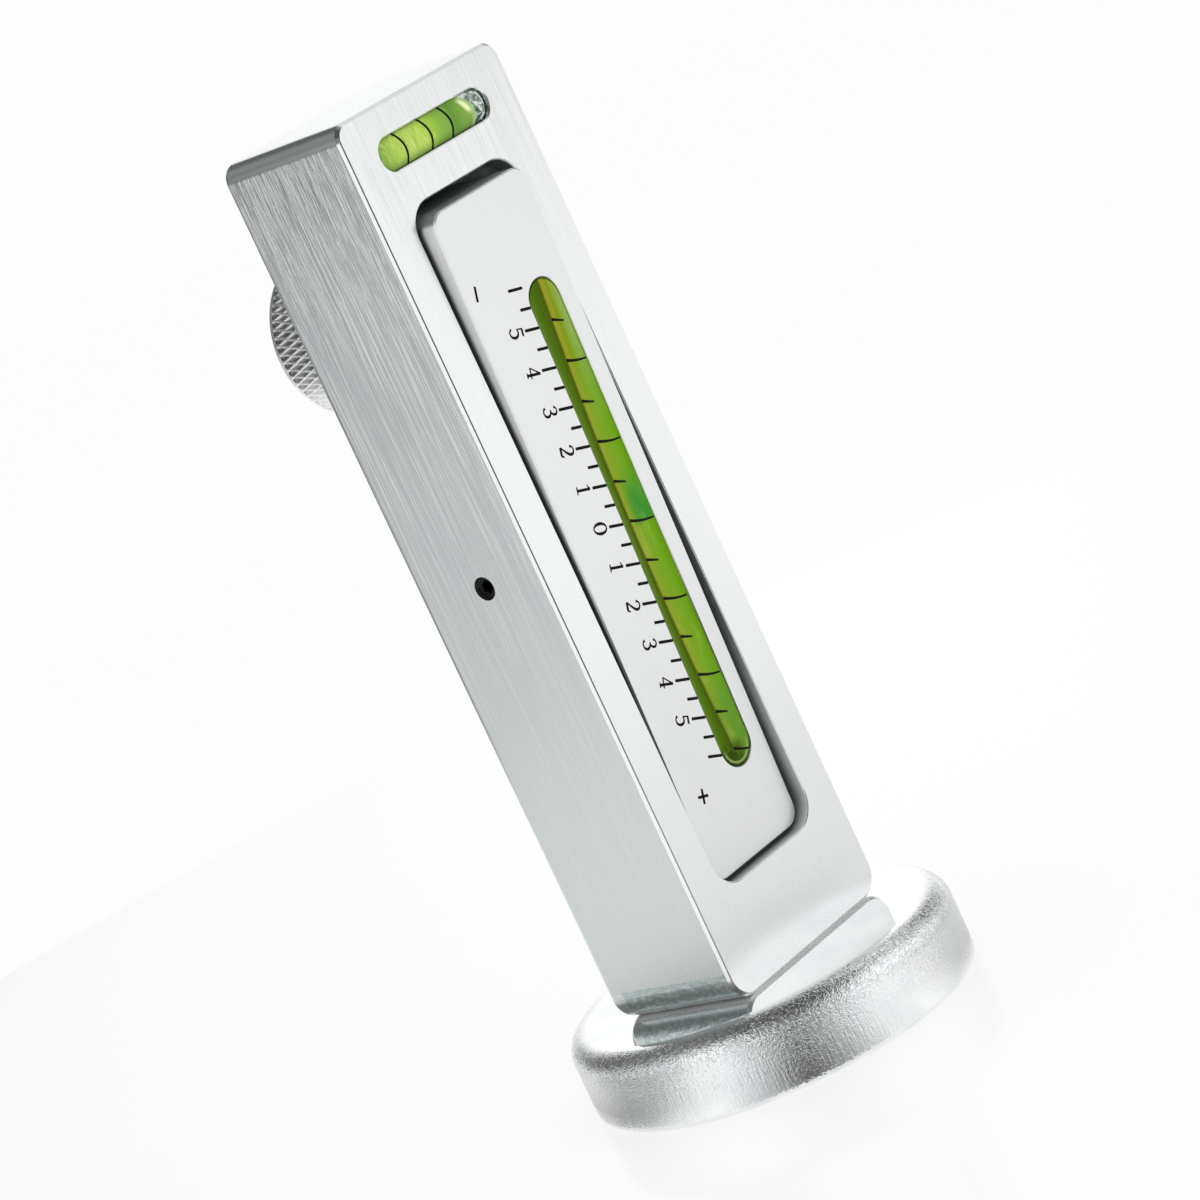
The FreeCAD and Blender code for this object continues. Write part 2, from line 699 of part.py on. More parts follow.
def make_cross_vial_body():
    bar = new_body("cross_bar")
    sketch = new_sketch(bar, "cross_bar_outline", "XZ_Plane", out=f"{CROSS_CENTRE_DEPTH} - Dims.vial_sink")
    draw_stadium(sketch, CROSS_BAR_LENGTH, CROSS_BAR_HEIGHT)
    pad(bar, "cross_bar_block", sketch, "Dims.cross_bar_depth", reverse=True)
    chamber = lying_rod("cross_chamber", "Dims.cross_chamber_radius", CROSS_CHAMBER_HALF)
    grooves = ring_cylinders("cross_groove", "Dims.cross_chamber_radius + Dims.cross_ring_depth")
    plug_hole = new_cylinder("cross_plug_hole", "Dims.vial_plug_radius", f"{CROSS_BAR_LENGTH} / 2")
    place(turn(plug_hole, Y_AXIS, -90), across=f"-{CROSS_CHAMBER_HALF} + Dims.cross_chamber_radius")
    hollow = fuse("cross_hollow", [chamber] + grooves + [plug_hole])
    return carry_to_cross_slot(cut("cross_vial_body", bar, hollow))


def make_cross_vial_liquid():
    """The filling, ending at the air bubble's curved face."""
    radius = "(Dims.cross_chamber_radius - Dims.liquid_film)"
    filling = lying_rod("cross_filling", radius, f"({CROSS_CHAMBER_HALF} - Dims.liquid_film)")
    bubble = new_sphere("cross_bubble_space", "Dims.cross_meniscus_radius")
    place(bubble, across=f"{CROSS_CHAMBER_HALF} - Dims.cross_bubble + Dims.cross_meniscus_radius")
    return carry_to_cross_slot(cut("cross_vial_liquid", filling, bubble))


def make_cross_vial_rings():
    outer = ring_cylinders("cross_ring_outside", "Dims.cross_chamber_radius + Dims.cross_ring_depth")
    inner = ring_cylinders("cross_ring_inside", "Dims.cross_chamber_radius")
    rings = [cut(f"cross_ring_{i + 1}", outer[i], inner[i]) for i in range(3)]
    return carry_to_cross_slot(compound("cross_vial_rings", rings))


def make_cross_vial_plug():
    """The stopper of the filling hole, in the bar's left end."""
    start = f"({CROSS_CHAMBER_HALF} + Dims.liquid_film)"
    plug = new_cylinder("cross_vial_plug", "Dims.vial_plug_radius", f"{CROSS_BAR_LENGTH} / 2 - {start}")
    plug.Label = "cross_vial_plug"
    turn(plug, Y_AXIS, -90)
    return place(plug, across=f"-{start}", back=f"{POST_FRONT} + {CROSS_CENTRE_DEPTH}", up=CROSS_Z)


def make_cross_vial_bed():
    """The adhesive that the bar lies on."""
    body = new_body("cross_vial_bed")
    depth = "(Dims.vial_sink + Dims.cross_bar_depth)"
    sketch = new_sketch(body, "cross_bed_outline", "XZ_Plane", out=f"Dims.post_depth / 2 - {depth}")
    draw_stadium(sketch, CROSS_BAR_LENGTH, CROSS_BAR_HEIGHT)
    pad(body, "cross_bed_layer", sketch, "Dims.vial_bed", reverse=True)
    return place(body, up=CROSS_Z)


# ---- level block ----------------------------------------------------------------------------------

BUSH_DIAMETER = "(Dims.pivot_point_diameter + 2 * Dims.pivot_clearance + 2 * Dims.bush_wall)"
CAMBER_SLOT_DEPTH = "(Dims.vial_sink + Dims.camber_bar_depth + Dims.vial_bed)"


def make_level_block():
    body = new_body("level_block")
    outline = new_sketch(body, "block_outline", "XZ_Plane", up="-Dims.block_drop", out=f"-{BLOCK_FRONT}")
    draw_rounded_rectangle(
        outline, "Dims.block_width", "Dims.block_height", "Dims.block_round", "Dims.block_round"
    )
    pad(body, "block_bar", outline, "Dims.block_thickness", reverse=True)
    front = number(BLOCK_FRONT)
    back = number(BLOCK_BACK)

    def front_or_back(edge):
        return lies_at(edge, "Y", front) or lies_at(edge, "Y", back)

    soften(body, "block_edges", "Chamfer", "Dims.block_front_chamfer", front_or_back)

    slot = new_sketch(
        body,
        "camber_slot_outline",
        "XZ_Plane",
        across="Dims.camber_slot_across",
        up="-Dims.camber_slot_drop",
        out=f"-{BLOCK_FRONT}",
    )
    draw_stadium(slot, "Dims.camber_slot_length", "Dims.camber_slot_width", upright=True)
    pocket(body, "camber_slot", slot, CAMBER_SLOT_DEPTH)

    for side, name in ((1, "right"), (-1, "left")):
        hole = new_sketch(body, f"{name}_bush_outline", "YZ_Plane", out=f"{side} * Dims.block_width / 2")
        draw_circle(hole, BUSH_DIAMETER)
        pocket(body, f"{name}_bush_hole", hole, "Dims.bush_length", reverse=side < 0)

    button = new_sketch(body, "button_hole_outline", "XZ_Plane", up="Dims.feed_arm", out=f"-{BLOCK_BACK}")
    draw_circle(button, "Dims.button_diameter")
    pocket(body, "button_hole", button, "Dims.button_thickness", reverse=True)

    seat = new_sketch(body, "spring_hole_outline", "XZ_Plane", up="-Dims.feed_arm", out=f"-{BLOCK_BACK}")
    draw_circle(seat, SPRING_BORE)
    pocket(body, "spring_hole", seat, "Dims.spring_block_seat", reverse=True)

    slot_left = number("Dims.camber_slot_across - Dims.camber_slot_width / 2")
    slot_right = number("Dims.camber_slot_across + Dims.camber_slot_width / 2")

    def slot_mouth(edge):
        box = edge.BoundBox
        inside = box.XMin > slot_left - CLOSE and box.XMax < slot_right + CLOSE
        return lies_at(edge, "Y", front) and inside

    soften(body, "slot_mouth_edges", "Chamfer", "Dims.camber_slot_chamfer", slot_mouth)
    return hang_on_pivot(body)


def make_pivot_bushes():
    body = new_body("right_pivot_bush")
    sketch = new_sketch(body, "pivot_bush_section", "XY_Plane")
    bore = "(Dims.pivot_point_diameter / 2 + Dims.pivot_clearance)"
    outer = "Dims.block_width / 2"
    inner = "Dims.block_width / 2 - Dims.bush_length"
    draw_polygon(sketch, (
        (inner, bore),
        (outer, bore),
        (outer, f"{BUSH_DIAMETER} / 2"),
        (inner, f"{BUSH_DIAMETER} / 2"),
    ))
    revolve(body, "pivot_bush_turned", sketch, "H_Axis")
    return hang_on_pivot(compound("pivot_bushes", [body, mirrored("left_pivot_bush", body)]))


def make_thrust_button():
    """The hard disc in the block's back that the ball pushes on."""
    button = new_cylinder("button_disc", "Dims.button_diameter / 2", "Dims.button_thickness")
    place(turn(button, X_AXIS, 90), back=BLOCK_BACK, up="Dims.feed_arm")
    return hang_on_pivot(compound("thrust_button", [button]))


# ---- camber vial ----------------------------------------------------------------------------------

# The bubble moves one degree_pitch along the chamber for each degree, so the chamber is bent to this
# radius. Its crown is at the scale's zero, and it bends away behind the block's front to both ends.
LEVEL_RADIUS = "(Dims.degree_pitch * 180 / pi)"
CROWN_Y = f"({CAMBER_BAR_FRONT} + Dims.camber_cover + Dims.camber_chamber_radius)"
ZERO_Z = "(-Dims.camber_zero_drop)"
CAMBER_POINT = POINT_DEPTH.format(radius="Dims.camber_chamber_radius")
TIP_ROOM = f"(Dims.camber_end_wall + {CAMBER_POINT})"
TOP_ANGLE = f"asin(({CAMBER_TOP} - {TIP_ROOM} - {ZERO_Z}) / {LEVEL_RADIUS})"
FOOT_ANGLE = f"asin(({CAMBER_FOOT} + {TIP_ROOM} - {ZERO_Z}) / {LEVEL_RADIUS})"


def bent_rod(name, radius):
    """A rod along the bent chamber's centre line, pointed like a drill at both ends, in the block's frame."""
    sweep = f"({TOP_ANGLE} - {FOOT_ANGLE})"
    rod = doc.addObject("Part::Torus", f"{name}_rod")
    rod.setExpression("Radius1", LEVEL_RADIUS)
    rod.setExpression("Radius2", radius)
    rod.setExpression("Angle3", sweep)
    # the segment starts in front of the bend's centre and rises from there
    rod.Placement.Rotation = FreeCAD.Rotation(-Y_AXIS, Z_AXIS, -X_AXIS)
    point = POINT_DEPTH.format(radius=radius)
    foot = new_cone(f"{name}_foot", radius, point)
    place(turn(foot, X_AXIS, 180), back=f"-{LEVEL_RADIUS}")
    top = turn(new_cone(f"{name}_top", radius, point), X_AXIS, -1)
    top.setExpression("Placement.Rotation.Angle", f"-{sweep}")
    place(top, back=f"-{LEVEL_RADIUS} * cos({sweep})", up=f"{LEVEL_RADIUS} * sin({sweep})")
    bent = fuse(name, [rod, foot, top])
    bent.Placement.Rotation = FreeCAD.Rotation(X_AXIS, 1)
    bent.setExpression("Placement.Rotation.Angle", f"-{FOOT_ANGLE}")
    return place(bent, across="Dims.camber_slot_across", back=f"{CROWN_Y} + {LEVEL_RADIUS}", up=ZERO_Z)


CHAMBER_FOOT_Y = f"({CROWN_Y} + {LEVEL_RADIUS} * (1 - cos({FOOT_ANGLE})))"
CHAMBER_TOP_Z = f"({CAMBER_TOP} - Dims.camber_end_wall)"
CAMBER_BAR_WIDTH = "(Dims.camber_slot_width - 2 * Dims.vial_clearance)"
CAMBER_BAR_LENGTH = "(Dims.camber_slot_length - 2 * Dims.vial_clearance)"


def camber_stadium(body, name, front):
    """The bar's outline on a plane across the block's depth."""
    place_in_block = {"across": "Dims.camber_slot_across", "up": "-Dims.camber_slot_drop"}
    sketch = new_sketch(body, name, "XZ_Plane", out=f"-{front}", **place_in_block)
    draw_stadium(sketch, CAMBER_BAR_LENGTH, CAMBER_BAR_WIDTH, upright=True)
    return sketch


def make_camber_vial_body():
    bar = new_body("camber_bar")
    outline = camber_stadium(bar, "camber_bar_outline", CAMBER_BAR_FRONT)
    pad(bar, "camber_bar_block", outline, "Dims.camber_bar_depth", reverse=True)
    chamber = bent_rod("camber_chamber", "Dims.camber_chamber_radius")
    plug_hole = new_cylinder("camber_plug_hole", "Dims.vial_plug_radius", TIP_ROOM)
    place(plug_hole, across="Dims.camber_slot_across", back=CHAMBER_FOOT_Y, up=CAMBER_FOOT)
    return hang_on_pivot(cut("camber_vial_body", bar, fuse("camber_hollow", [chamber, plug_hole])))


def make_camber_vial_liquid():
    """The filling, level below the air at the chamber's upper end."""
    radius = "(Dims.camber_chamber_radius - Dims.liquid_film)"
    filling = bent_rod("camber_filling", radius)
    air = doc.addObject("Part::Box", "camber_air_space")
    for side, size in (("Length", "Dims.block_width"), ("Width", "Dims.block_thickness")):
        air.setExpression(side, size)
    air.setExpression("Height", "2 * Dims.camber_air_gap")
    place(air, back=BLOCK_FRONT, up=f"{CHAMBER_TOP_Z} - Dims.camber_air_gap")
    return hang_on_pivot(cut("camber_vial_liquid", filling, air))


def make_camber_vial_plug():
    """The stopper of the filling hole, in the bar's lower end."""
    height = "(Dims.camber_end_wall - Dims.liquid_film)"
    plug = new_cylinder("camber_plug_rod", "Dims.vial_plug_radius", height)
    place(plug, across="Dims.camber_slot_across", back=CHAMBER_FOOT_Y, up=CAMBER_FOOT)
    return hang_on_pivot(compound("camber_vial_plug", [plug]))


def make_camber_vial_bed():
    body = new_body("camber_vial_bed")
    outline = camber_stadium(body, "camber_bed_outline", f"({CAMBER_BAR_FRONT} + Dims.camber_bar_depth)")
    pad(body, "camber_bed_layer", outline, "Dims.vial_bed", reverse=True)
    return hang_on_pivot(body)


# ---- adjuster -------------------------------------------------------------------------------------


def make_thrust_ball():
    ball = new_sphere("thrust_ball", "Dims.ball_diameter / 2")
    ball.Label = "thrust_ball"
    return place(ball, back=BALL_Y, up=FEED_Z)


def make_adjusting_screw():
    """The feed screw, drawn about the centre of the ball that its countersunk nose holds."""
    body = new_body("adjusting_screw")
    radius = "(Dims.feed_screw_diameter / 2)"
    bevel = "Dims.feed_screw_chamfer"
    nose = "Dims.ball_seat_setback"
    seat_depth = "((Dims.ball_diameter / 2 + Dims.ball_clearance) / sin(Dims.ball_seat_angle))"
    seat_mouth = f"(({seat_depth} - {nose}) * tan(Dims.ball_seat_angle))"
    end = f"({KNOB_Y} + Dims.knob_thickness - Dims.knob_dish_depth - Dims.feed_screw_end_recess - {BALL_Y})"
    sketch = new_sketch(body, "screw_section", "XY_Plane")
    draw_polygon(sketch, (
        ("0", seat_depth),
        (seat_mouth, nose),
        (f"{radius} - {bevel}", nose),
        (radius, f"{nose} + {bevel}"),
        (radius, f"{end} - {bevel}"),
        (f"{radius} - {bevel}", end),
        ("0", end),
    ))
    revolve(body, "screw_turned", sketch, "V_Axis")
    socket = new_sketch(body, "screw_socket_outline", "XZ_Plane", out=f"-{end}")
    draw_hexagon(socket, "Dims.feed_screw_socket")
    pocket(body, "screw_drive", socket, "Dims.feed_screw_socket_depth", reverse=True)
    return place(body, back=BALL_Y, up=FEED_Z)


def make_adjusting_knob():
    body = new_body("adjusting_knob")
    radius = "(Dims.knob_diameter / 2)"
    bore = "(Dims.feed_screw_diameter / 2 + Dims.knob_bore_clearance)"
    bevel = "Dims.knob_chamfer"
    thickness = "Dims.knob_thickness"
    sketch = new_sketch(body, "knob_section", "XY_Plane")
    draw_polygon(sketch, (
        (bore, "0"),
        (f"{radius} - {bevel}", "0"),
        (radius, bevel),
        (radius, f"{thickness} - {bevel}"),
        (f"{radius} - {bevel}", thickness),
        ("Dims.knob_dish_diameter / 2", thickness),
        ("Dims.knob_dish_diameter / 2 - Dims.knob_dish_depth", f"{thickness} - Dims.knob_dish_depth"),
        (bore, f"{thickness} - Dims.knob_dish_depth"),
    ))
    revolve(body, "knob_turned", sketch, "V_Axis")
    hole = new_sketch(body, "grub_hole_outline", "XY_Plane", up=f"{thickness} / 2")
    draw_circle(hole, "Dims.grub_diameter + 2 * Dims.thread_clearance")
    pocket(body, "grub_hole", hole, "Dims.knob_diameter", reverse=True)
    return place(body, back=KNOB_Y, up=FEED_Z)


def make_knob_set_screw():
    body = new_body("knob_set_screw")
    foot = "(Dims.feed_screw_diameter / 2 + Dims.grub_gap)"
    shank = new_sketch(body, "grub_outline", "XY_Plane", out=foot)
    draw_circle(shank, "Dims.grub_diameter")
    pad(body, "grub", shank, "Dims.grub_length")
    socket = new_sketch(body, "grub_socket_outline", "XY_Plane", out=f"{foot} + Dims.grub_length")
    draw_hexagon(socket, "Dims.grub_socket")
    pocket(body, "grub_drive", socket, "Dims.grub_socket_depth")
    return place(body, back=f"{KNOB_Y} + Dims.knob_thickness / 2", up=FEED_Z)


PIECES = [
    make_magnet_cup(),
    make_centre_pole(),
    make_ring_magnet(),
    make_magnet_resin(),
    make_magnet_screw(),
    make_post_body(),
    make_pivot_screws(),
    make_screw_bushing(),
    make_return_spring(),
    make_cross_vial_body(),
    make_cross_vial_liquid(),
    make_cross_vial_rings(),
    make_cross_vial_plug(),
    make_cross_vial_bed(),
    make_level_block(),
    make_pivot_bushes(),
    make_thrust_button(),
    make_camber_vial_body(),
    make_camber_vial_liquid(),
    make_camber_vial_plug(),
    make_camber_vial_bed(),
    make_thrust_ball(),
    make_adjusting_screw(),
    make_adjusting_knob(),
    make_knob_set_screw(),
]

doc.recompute()
for item in doc.Objects:
    if "Invalid" in item.State or "Error" in item.State:
        raise RuntimeError(f"{item.Label} failed: {item.State}")

os.makedirs("parts", exist_ok=True)
for piece in PIECES:
    if piece.Shape.isNull() or not piece.Shape.isValid():
        raise RuntimeError(f"{piece.Label} has no valid shape")
    piece.Shape.exportStep(f"parts/{piece.Label}.step")
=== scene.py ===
import math

import bmesh
import bpy
from mathutils import Matrix, Vector


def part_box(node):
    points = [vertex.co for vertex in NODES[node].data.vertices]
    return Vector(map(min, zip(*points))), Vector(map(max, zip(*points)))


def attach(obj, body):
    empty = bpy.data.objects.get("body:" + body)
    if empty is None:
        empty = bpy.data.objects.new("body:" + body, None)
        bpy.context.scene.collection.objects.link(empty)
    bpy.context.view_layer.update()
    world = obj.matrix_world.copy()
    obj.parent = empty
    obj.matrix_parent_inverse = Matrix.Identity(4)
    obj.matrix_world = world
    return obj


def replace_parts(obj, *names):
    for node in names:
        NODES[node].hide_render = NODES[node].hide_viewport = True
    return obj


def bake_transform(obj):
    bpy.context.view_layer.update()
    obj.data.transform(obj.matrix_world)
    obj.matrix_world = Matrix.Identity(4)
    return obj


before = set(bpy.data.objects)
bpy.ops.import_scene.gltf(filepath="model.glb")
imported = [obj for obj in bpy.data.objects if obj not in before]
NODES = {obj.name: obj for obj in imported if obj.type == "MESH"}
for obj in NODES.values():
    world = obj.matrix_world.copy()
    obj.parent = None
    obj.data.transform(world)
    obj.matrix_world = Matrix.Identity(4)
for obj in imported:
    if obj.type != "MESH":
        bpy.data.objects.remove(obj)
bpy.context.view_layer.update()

MM = 0.001

# The lengths below are written in millimetres

# The level block's frame: its origin is on the pivot axis, and it leans with the block at rest
PIVOT = Vector((0, -0.9, 80.2)) * MM
REST_TILT = math.radians(2.3)
BLOCK_FRAME = Matrix.Translation(PIVOT) @ Matrix.Rotation(REST_TILT, 4, "X")
BLOCK_FRONT = -11.25

# The scale, in the block's frame
DEGREE = 6.08
SCALE_ZERO = -0.56
TICK_END = 0.8
NUMERAL_X = -3.85
NUMERAL_HEIGHT = 2.85

# The vials: the visible face's centre, length and width, where its crown lies, its back and its bow's radius
CAMBER_VIAL = dict(
    centre=(4.25, -2.12), length=76.1, width=6.68, upright=True, front=-11.20, back=-2.9, bow=60.0
)
CROSS_VIAL = dict(
    centre=(0.0, 140.7), length=24.1, width=4.8, upright=False, front=-11.90, back=-5.50, bow=4.6
)

# The camber vial's painted shadow strip on the left, and the bend of the chamber's edge beside it, in the
# block's frame
SHADOW_STRIP_LEFT = 0.95
SHADOW_STRIP_WIDTH = 1.4
CHAMBER_MIDDLE = -4.5
CHAMBER_BEND = 0.00125

# The adjusting knob: its axis' height, where its end towards the post lies, its size and its knurl
KNOB_AXIS_Z = 118.2
KNOB_NEAR = 14.95
KNOB_LENGTH = 9.0
KNOB_RADIUS = 12.0
KNURL_RIDGES = 60
KNURL_LEAN = 0.33
KNURL_DEPTH = 0.28


def tone(red, green, blue):
    """A colour written as on a screen, 0 to 255, as Blender's linear colour."""
    def linear(level):
        share = level / 255
        return share / 12.92 if share <= 0.04045 else ((share + 0.055) / 1.055) ** 2.4
    return (linear(red), linear(green), linear(blue), 1.0)


# ---- materials ------------------------------------------------------------------------------------


class Field:
    """A number that varies over a surface. Arithmetic on it adds nodes to its material."""

    def __init__(self, paint, socket):
        self.paint = paint
        self.socket = socket

    def math(self, operation, *others):
        """One of Blender's Math operations on this field and the others."""
        node = self.paint.add("ShaderNodeMath", operation=operation)
        for socket, value in zip(node.inputs, (self, *others)):
            self.paint.feed(socket, value)
        return Field(self.paint, node.outputs[0])

    def __add__(self, other):
        return self.math("ADD", other)

    def __sub__(self, other):
        return self.math("SUBTRACT", other)

    def __mul__(self, other):
        return self.math("MULTIPLY", other)

    def __abs__(self):
        return self.math("ABSOLUTE")

    def squared(self):
        return self * self

    def lower(self, other):
        return self.math("MINIMUM", other)

    def higher(self, other):
        return self.math("MAXIMUM", other)

    def rise(self, start, end, low=0.0, high=1.0):
        """Goes smoothly from low to high as the field goes from start to end."""
        node = self.paint.add("ShaderNodeMapRange", interpolation_type="SMOOTHSTEP")
        for socket, value in zip(node.inputs, (self, start, end, low, high)):
            self.paint.feed(socket, value)
        return Field(self.paint, node.outputs[0])


class Paint:
    """A material in the making."""

    def __init__(self, name, **constants):
        self.material = bpy.data.materials.new(name)
        self.material.use_nodes = True
        self.tree = self.material.node_tree
        self.shader = self.tree.nodes["Principled BSDF"]
        self.coordinates = self.add("ShaderNodeTexCoord")
        self.set(**constants)

    def add(self, kind, **settings):
        """A new node of this kind."""
        node = self.tree.nodes.new(kind)
        for name, value in settings.items():
            setattr(node, name, value)
        return node

    def feed(self, socket, value):
        """Gives a socket a field, another node's socket or a constant."""
        if isinstance(value, Field):
            value = value.socket
        if isinstance(value, bpy.types.NodeSocket):
            self.tree.links.new(value, socket)
        else:
            socket.default_value = value

    def set(self, **values):
        """Gives the shader's inputs their values, with base_color for Base Color and so on."""
        for name, value in values.items():
            title = name.replace("_", " ").title().replace("Ior", "IOR")
            self.feed(self.shader.inputs[title], value)

    def split(self, vector):
        """The three numbers of a vector."""
        node = self.add("ShaderNodeSeparateXYZ")
        self.feed(node.inputs[0], vector)
        return [Field(self, socket) for socket in node.outputs]

    def place(self):
        """Across, back and up on the piece, in millimetres."""
        return [field * (1 / MM) for field in self.split(self.coordinates.outputs["Object"])]

    def standing(self):
        """Across, back and up in the frame, in millimetres, wherever the piece has moved to."""
        geometry = self.add("ShaderNodeNewGeometry")
        return [field * (1 / MM) for field in self.split(geometry.outputs["Position"])]

    def facing(self):
        """The surface's direction on the piece: across, back and up."""
        return self.split(self.coordinates.outputs["Normal"])

    def noise(self, across, back, up, detail=2.0, roughness=0.5, distortion=0.0):
        """Noise whose grain is about this many millimetres across, back and up."""
        stretch = self.add("ShaderNodeVectorMath", operation="MULTIPLY")
        self.feed(stretch.inputs[0], self.coordinates.outputs["Object"])
        stretch.inputs[1].default_value = [1 / (size * MM) for size in (across, back, up)]
        node = self.add("ShaderNodeTexNoise")
        self.feed(node.inputs["Vector"], stretch.outputs[0])
        node.inputs["Scale"].default_value = 1.0
        node.inputs["Detail"].default_value = detail
        node.inputs["Roughness"].default_value = roughness
        node.inputs["Distortion"].default_value = distortion
        return Field(self, node.outputs[0])

    def blend(self, first, second, share):
        """The first colour where the share is 0, the second where it is 1."""
        node = self.add("ShaderNodeMix", data_type="RGBA")
        self.feed(node.inputs[0], share)
        self.feed(node.inputs[6], first)
        self.feed(node.inputs[7], second)
        return node.outputs[2]

    def ramp(self, field, *stops):
        """Colours along a field, as pairs of place and colour."""
        node = self.add("ShaderNodeValToRGB")
        self.feed(node.inputs[0], field)
        elements = node.color_ramp.elements
        while len(elements) < len(stops):
            elements.new(1.0)
        for element, (position, colour) in zip(elements, stops):
            element.position = position
            element.color = colour
        return node.outputs[0]

    def bump(self, height, depth):
        """Relief of this depth in millimetres."""
        node = self.add("ShaderNodeBump")
        node.inputs["Strength"].default_value = 1.0
        node.inputs["Distance"].default_value = depth * MM
        self.feed(node.inputs["Height"], height)
        self.feed(self.shader.inputs["Normal"], node.outputs[0])


def brushed_streaks(paint):
    """Fine and broad lines that run up the part."""
    fine = paint.noise(0.26, 0.26, 16.0, detail=2.0, roughness=0.6)
    broad = paint.noise(1.6, 1.6, 60.0, detail=3.0)
    return fine, broad


def post_metal():
    """Brushed aluminium: strong lines with painted glints on the sides, dull milled pocket walls with painted
    shade, a grey-teal band at the foot, painted highlights on the front's edges.
    """
    paint = Paint("post_brushed_aluminium")
    across, back, up = paint.place()
    turned_out, _, turned_up = [abs(field) for field in paint.facing()]
    flank = turned_out.rise(0.55, 0.85)
    fine, broad = brushed_streaks(paint)
    short = paint.noise(0.2, 0.2, 3.4, detail=2.0, roughness=0.6)
    line = (fine * 0.75 + broad * 0.25).rise(0.38, 0.62)
    off_line = line * -1.0 + 1.0

    # The lines grow stronger towards the top
    top = up.rise(104.0, 138.0)
    worked_part = up.rise(55.0, 125.0, 0.15, 1.0)
    crown = up.rise(130.0, 141.0)
    # The white flecks near the top and the white lines along the brushing are painted glints
    painted_glints = short.rise(0.53, 0.58) * top * 0.9
    worked = paint.blend(tone(230, 235, 235), tone(206, 211, 212), worked_part * off_line)
    worked = paint.blend(worked, tone(170, 176, 178), short.rise(0.46, 0.38) * crown * 0.5)
    worked = paint.blend(worked, tone(255, 255, 255), (fine.rise(0.57, 0.63) * worked_part).higher(painted_glints))
    plain = paint.blend(tone(235, 238, 237), tone(226, 229, 228), top * off_line)
    plain = paint.blend(plain, tone(246, 248, 248), (top * line * 0.6).higher(up.rise(19.5, 15.0)))
    bright = paint.blend(plain, worked, flank)

    # A grey-teal band at the foot, blotched lighter, and the rounded edge of the top
    foot = 12.8
    band_top = 17.2
    grain = paint.noise(0.6, 0.9, 0.6, detail=3.0)
    band = up.rise(band_top + 0.05, band_top - 0.05) * up.rise(foot, foot + 0.2) * flank
    # Lighter blotches in the band's lower part
    worn = grain.rise(0.48, 0.6) * up.rise(band_top, 15.4) * 0.7
    band_tone = paint.blend(tone(206, 219, 217), tone(250, 254, 253), worn)
    band_tone = paint.blend(band_tone, tone(236, 241, 240), back.rise(8.8, 9.3))
    bright = paint.blend(bright, band_tone, band)
    rounding = up.rise(145.2, 145.7) * turned_up.rise(0.98, 0.93) * turned_out.rise(0.1, 0.2)
    bright = paint.blend(bright, tone(236, 242, 240), rounding)

    # The pocket's walls, with painted shade: darkest some 2.6 mm in, in the gap beside the block, painted
    # lighter again further in, and painted dark near the mouth from the middle up
    pocket_half = 11.9
    pocket_foot = 26.7
    pocket_top = 133.1
    front = -11.95
    inside = abs(across).rise(pocket_half + 0.1, pocket_half)
    inside = inside * up.rise(pocket_foot - 0.1, pocket_foot) * up.rise(pocket_top + 0.1, pocket_top)
    inside = inside * back.rise(-11.9, -11.7) * back.rise(11.2, 10.8)
    gap_shade_tone = tone(104, 109, 106)
    walls = paint.ramp(
        (back - front) * 0.1,
        (0.0, tone(206, 211, 209)),
        (0.08, tone(182, 188, 185)),
        (0.17, tone(140, 146, 143)),
        (0.26, gap_shade_tone),
        (0.5, tone(214, 222, 217)),
        (1.0, tone(244, 250, 246)),
    )
    walls = paint.blend(walls, gap_shade_tone, back.rise(-9.6, -10.4) * up.rise(38.0, 62.0))

    # The front's upright edges: a thin line of painted shade, and a white strip of painted highlight outside
    # it; the foot's edge is painted white as a highlight too
    corner = turned_out.rise(0.28, 0.34) * turned_out.rise(0.985, 0.96) * turned_up.rise(0.1, 0.05)
    corner = corner * abs(across).rise(17.0, 17.4) * back.rise(-9.0, -9.5)
    line_start = 17.7
    line_end = 17.94
    crease = abs(across).rise(line_start - 0.02, line_start + 0.02) * corner
    crease = crease * abs(across).rise(line_end + 0.02, line_end - 0.02)
    corner = corner * abs(across).rise(line_end - 0.02, line_end + 0.02)
    painted_highlight_edge = up.rise(foot, foot - 0.2).higher(corner)

    colour = paint.blend(bright, walls, inside)
    colour = paint.blend(colour, tone(255, 255, 255), painted_highlight_edge)
    paint.set(
        base_color=paint.blend(colour, tone(150, 154, 153), crease),
        metallic=inside.higher(painted_highlight_edge) * -0.95 + 1.0,
        roughness=line * 0.08 + 0.22 + inside * 0.2 + rounding * -0.12,
    )
    smooth = rounding.higher(inside).higher(corner)
    relief = (fine * worked_part * 1.2 + short * (top + crown) + grain * band) * (flank * 0.95 + 0.05)
    paint.bump(relief * (smooth * -1.0 + 1.0), 0.05)
    return paint.material


def block_metal():
    """Finely brushed aluminium, paler than the post, with painted shade down in the gap round the block."""
    paint = Paint("block_satin_aluminium")
    fine, broad = brushed_streaks(paint)
    line = (fine * 0.5 + broad * 0.5).rise(0.34, 0.66)
    face = paint.blend(tone(231, 233, 232), tone(236, 237, 237), line)
    turned_out, _, turned_up = [abs(field) for field in paint.facing()]
    side = turned_out.rise(0.4, 0.65)
    # Painted shade by depth in the frame: the faces go dark down in the gap, and the ends go dark grey inside
    # the pocket
    depth = paint.standing()[1]
    painted_gap_shade = depth.rise(-9.6, -6.5).higher(depth.rise(-12.15, -11.2) * side)
    end = turned_up.rise(0.4, 0.65) * depth.rise(-14.6, -13.6)
    colour = paint.blend(face, tone(246, 248, 247), side)
    colour = paint.blend(colour, tone(74, 79, 76), painted_gap_shade)
    paint.set(
        base_color=paint.blend(colour, tone(124, 132, 127), end),
        metallic=(side * 0.8).higher(painted_gap_shade).higher(end) * -1.0 + 1.0,
        roughness=line * 0.1 + 0.34,
    )
    paint.bump(fine, 0.004)
    return paint.material


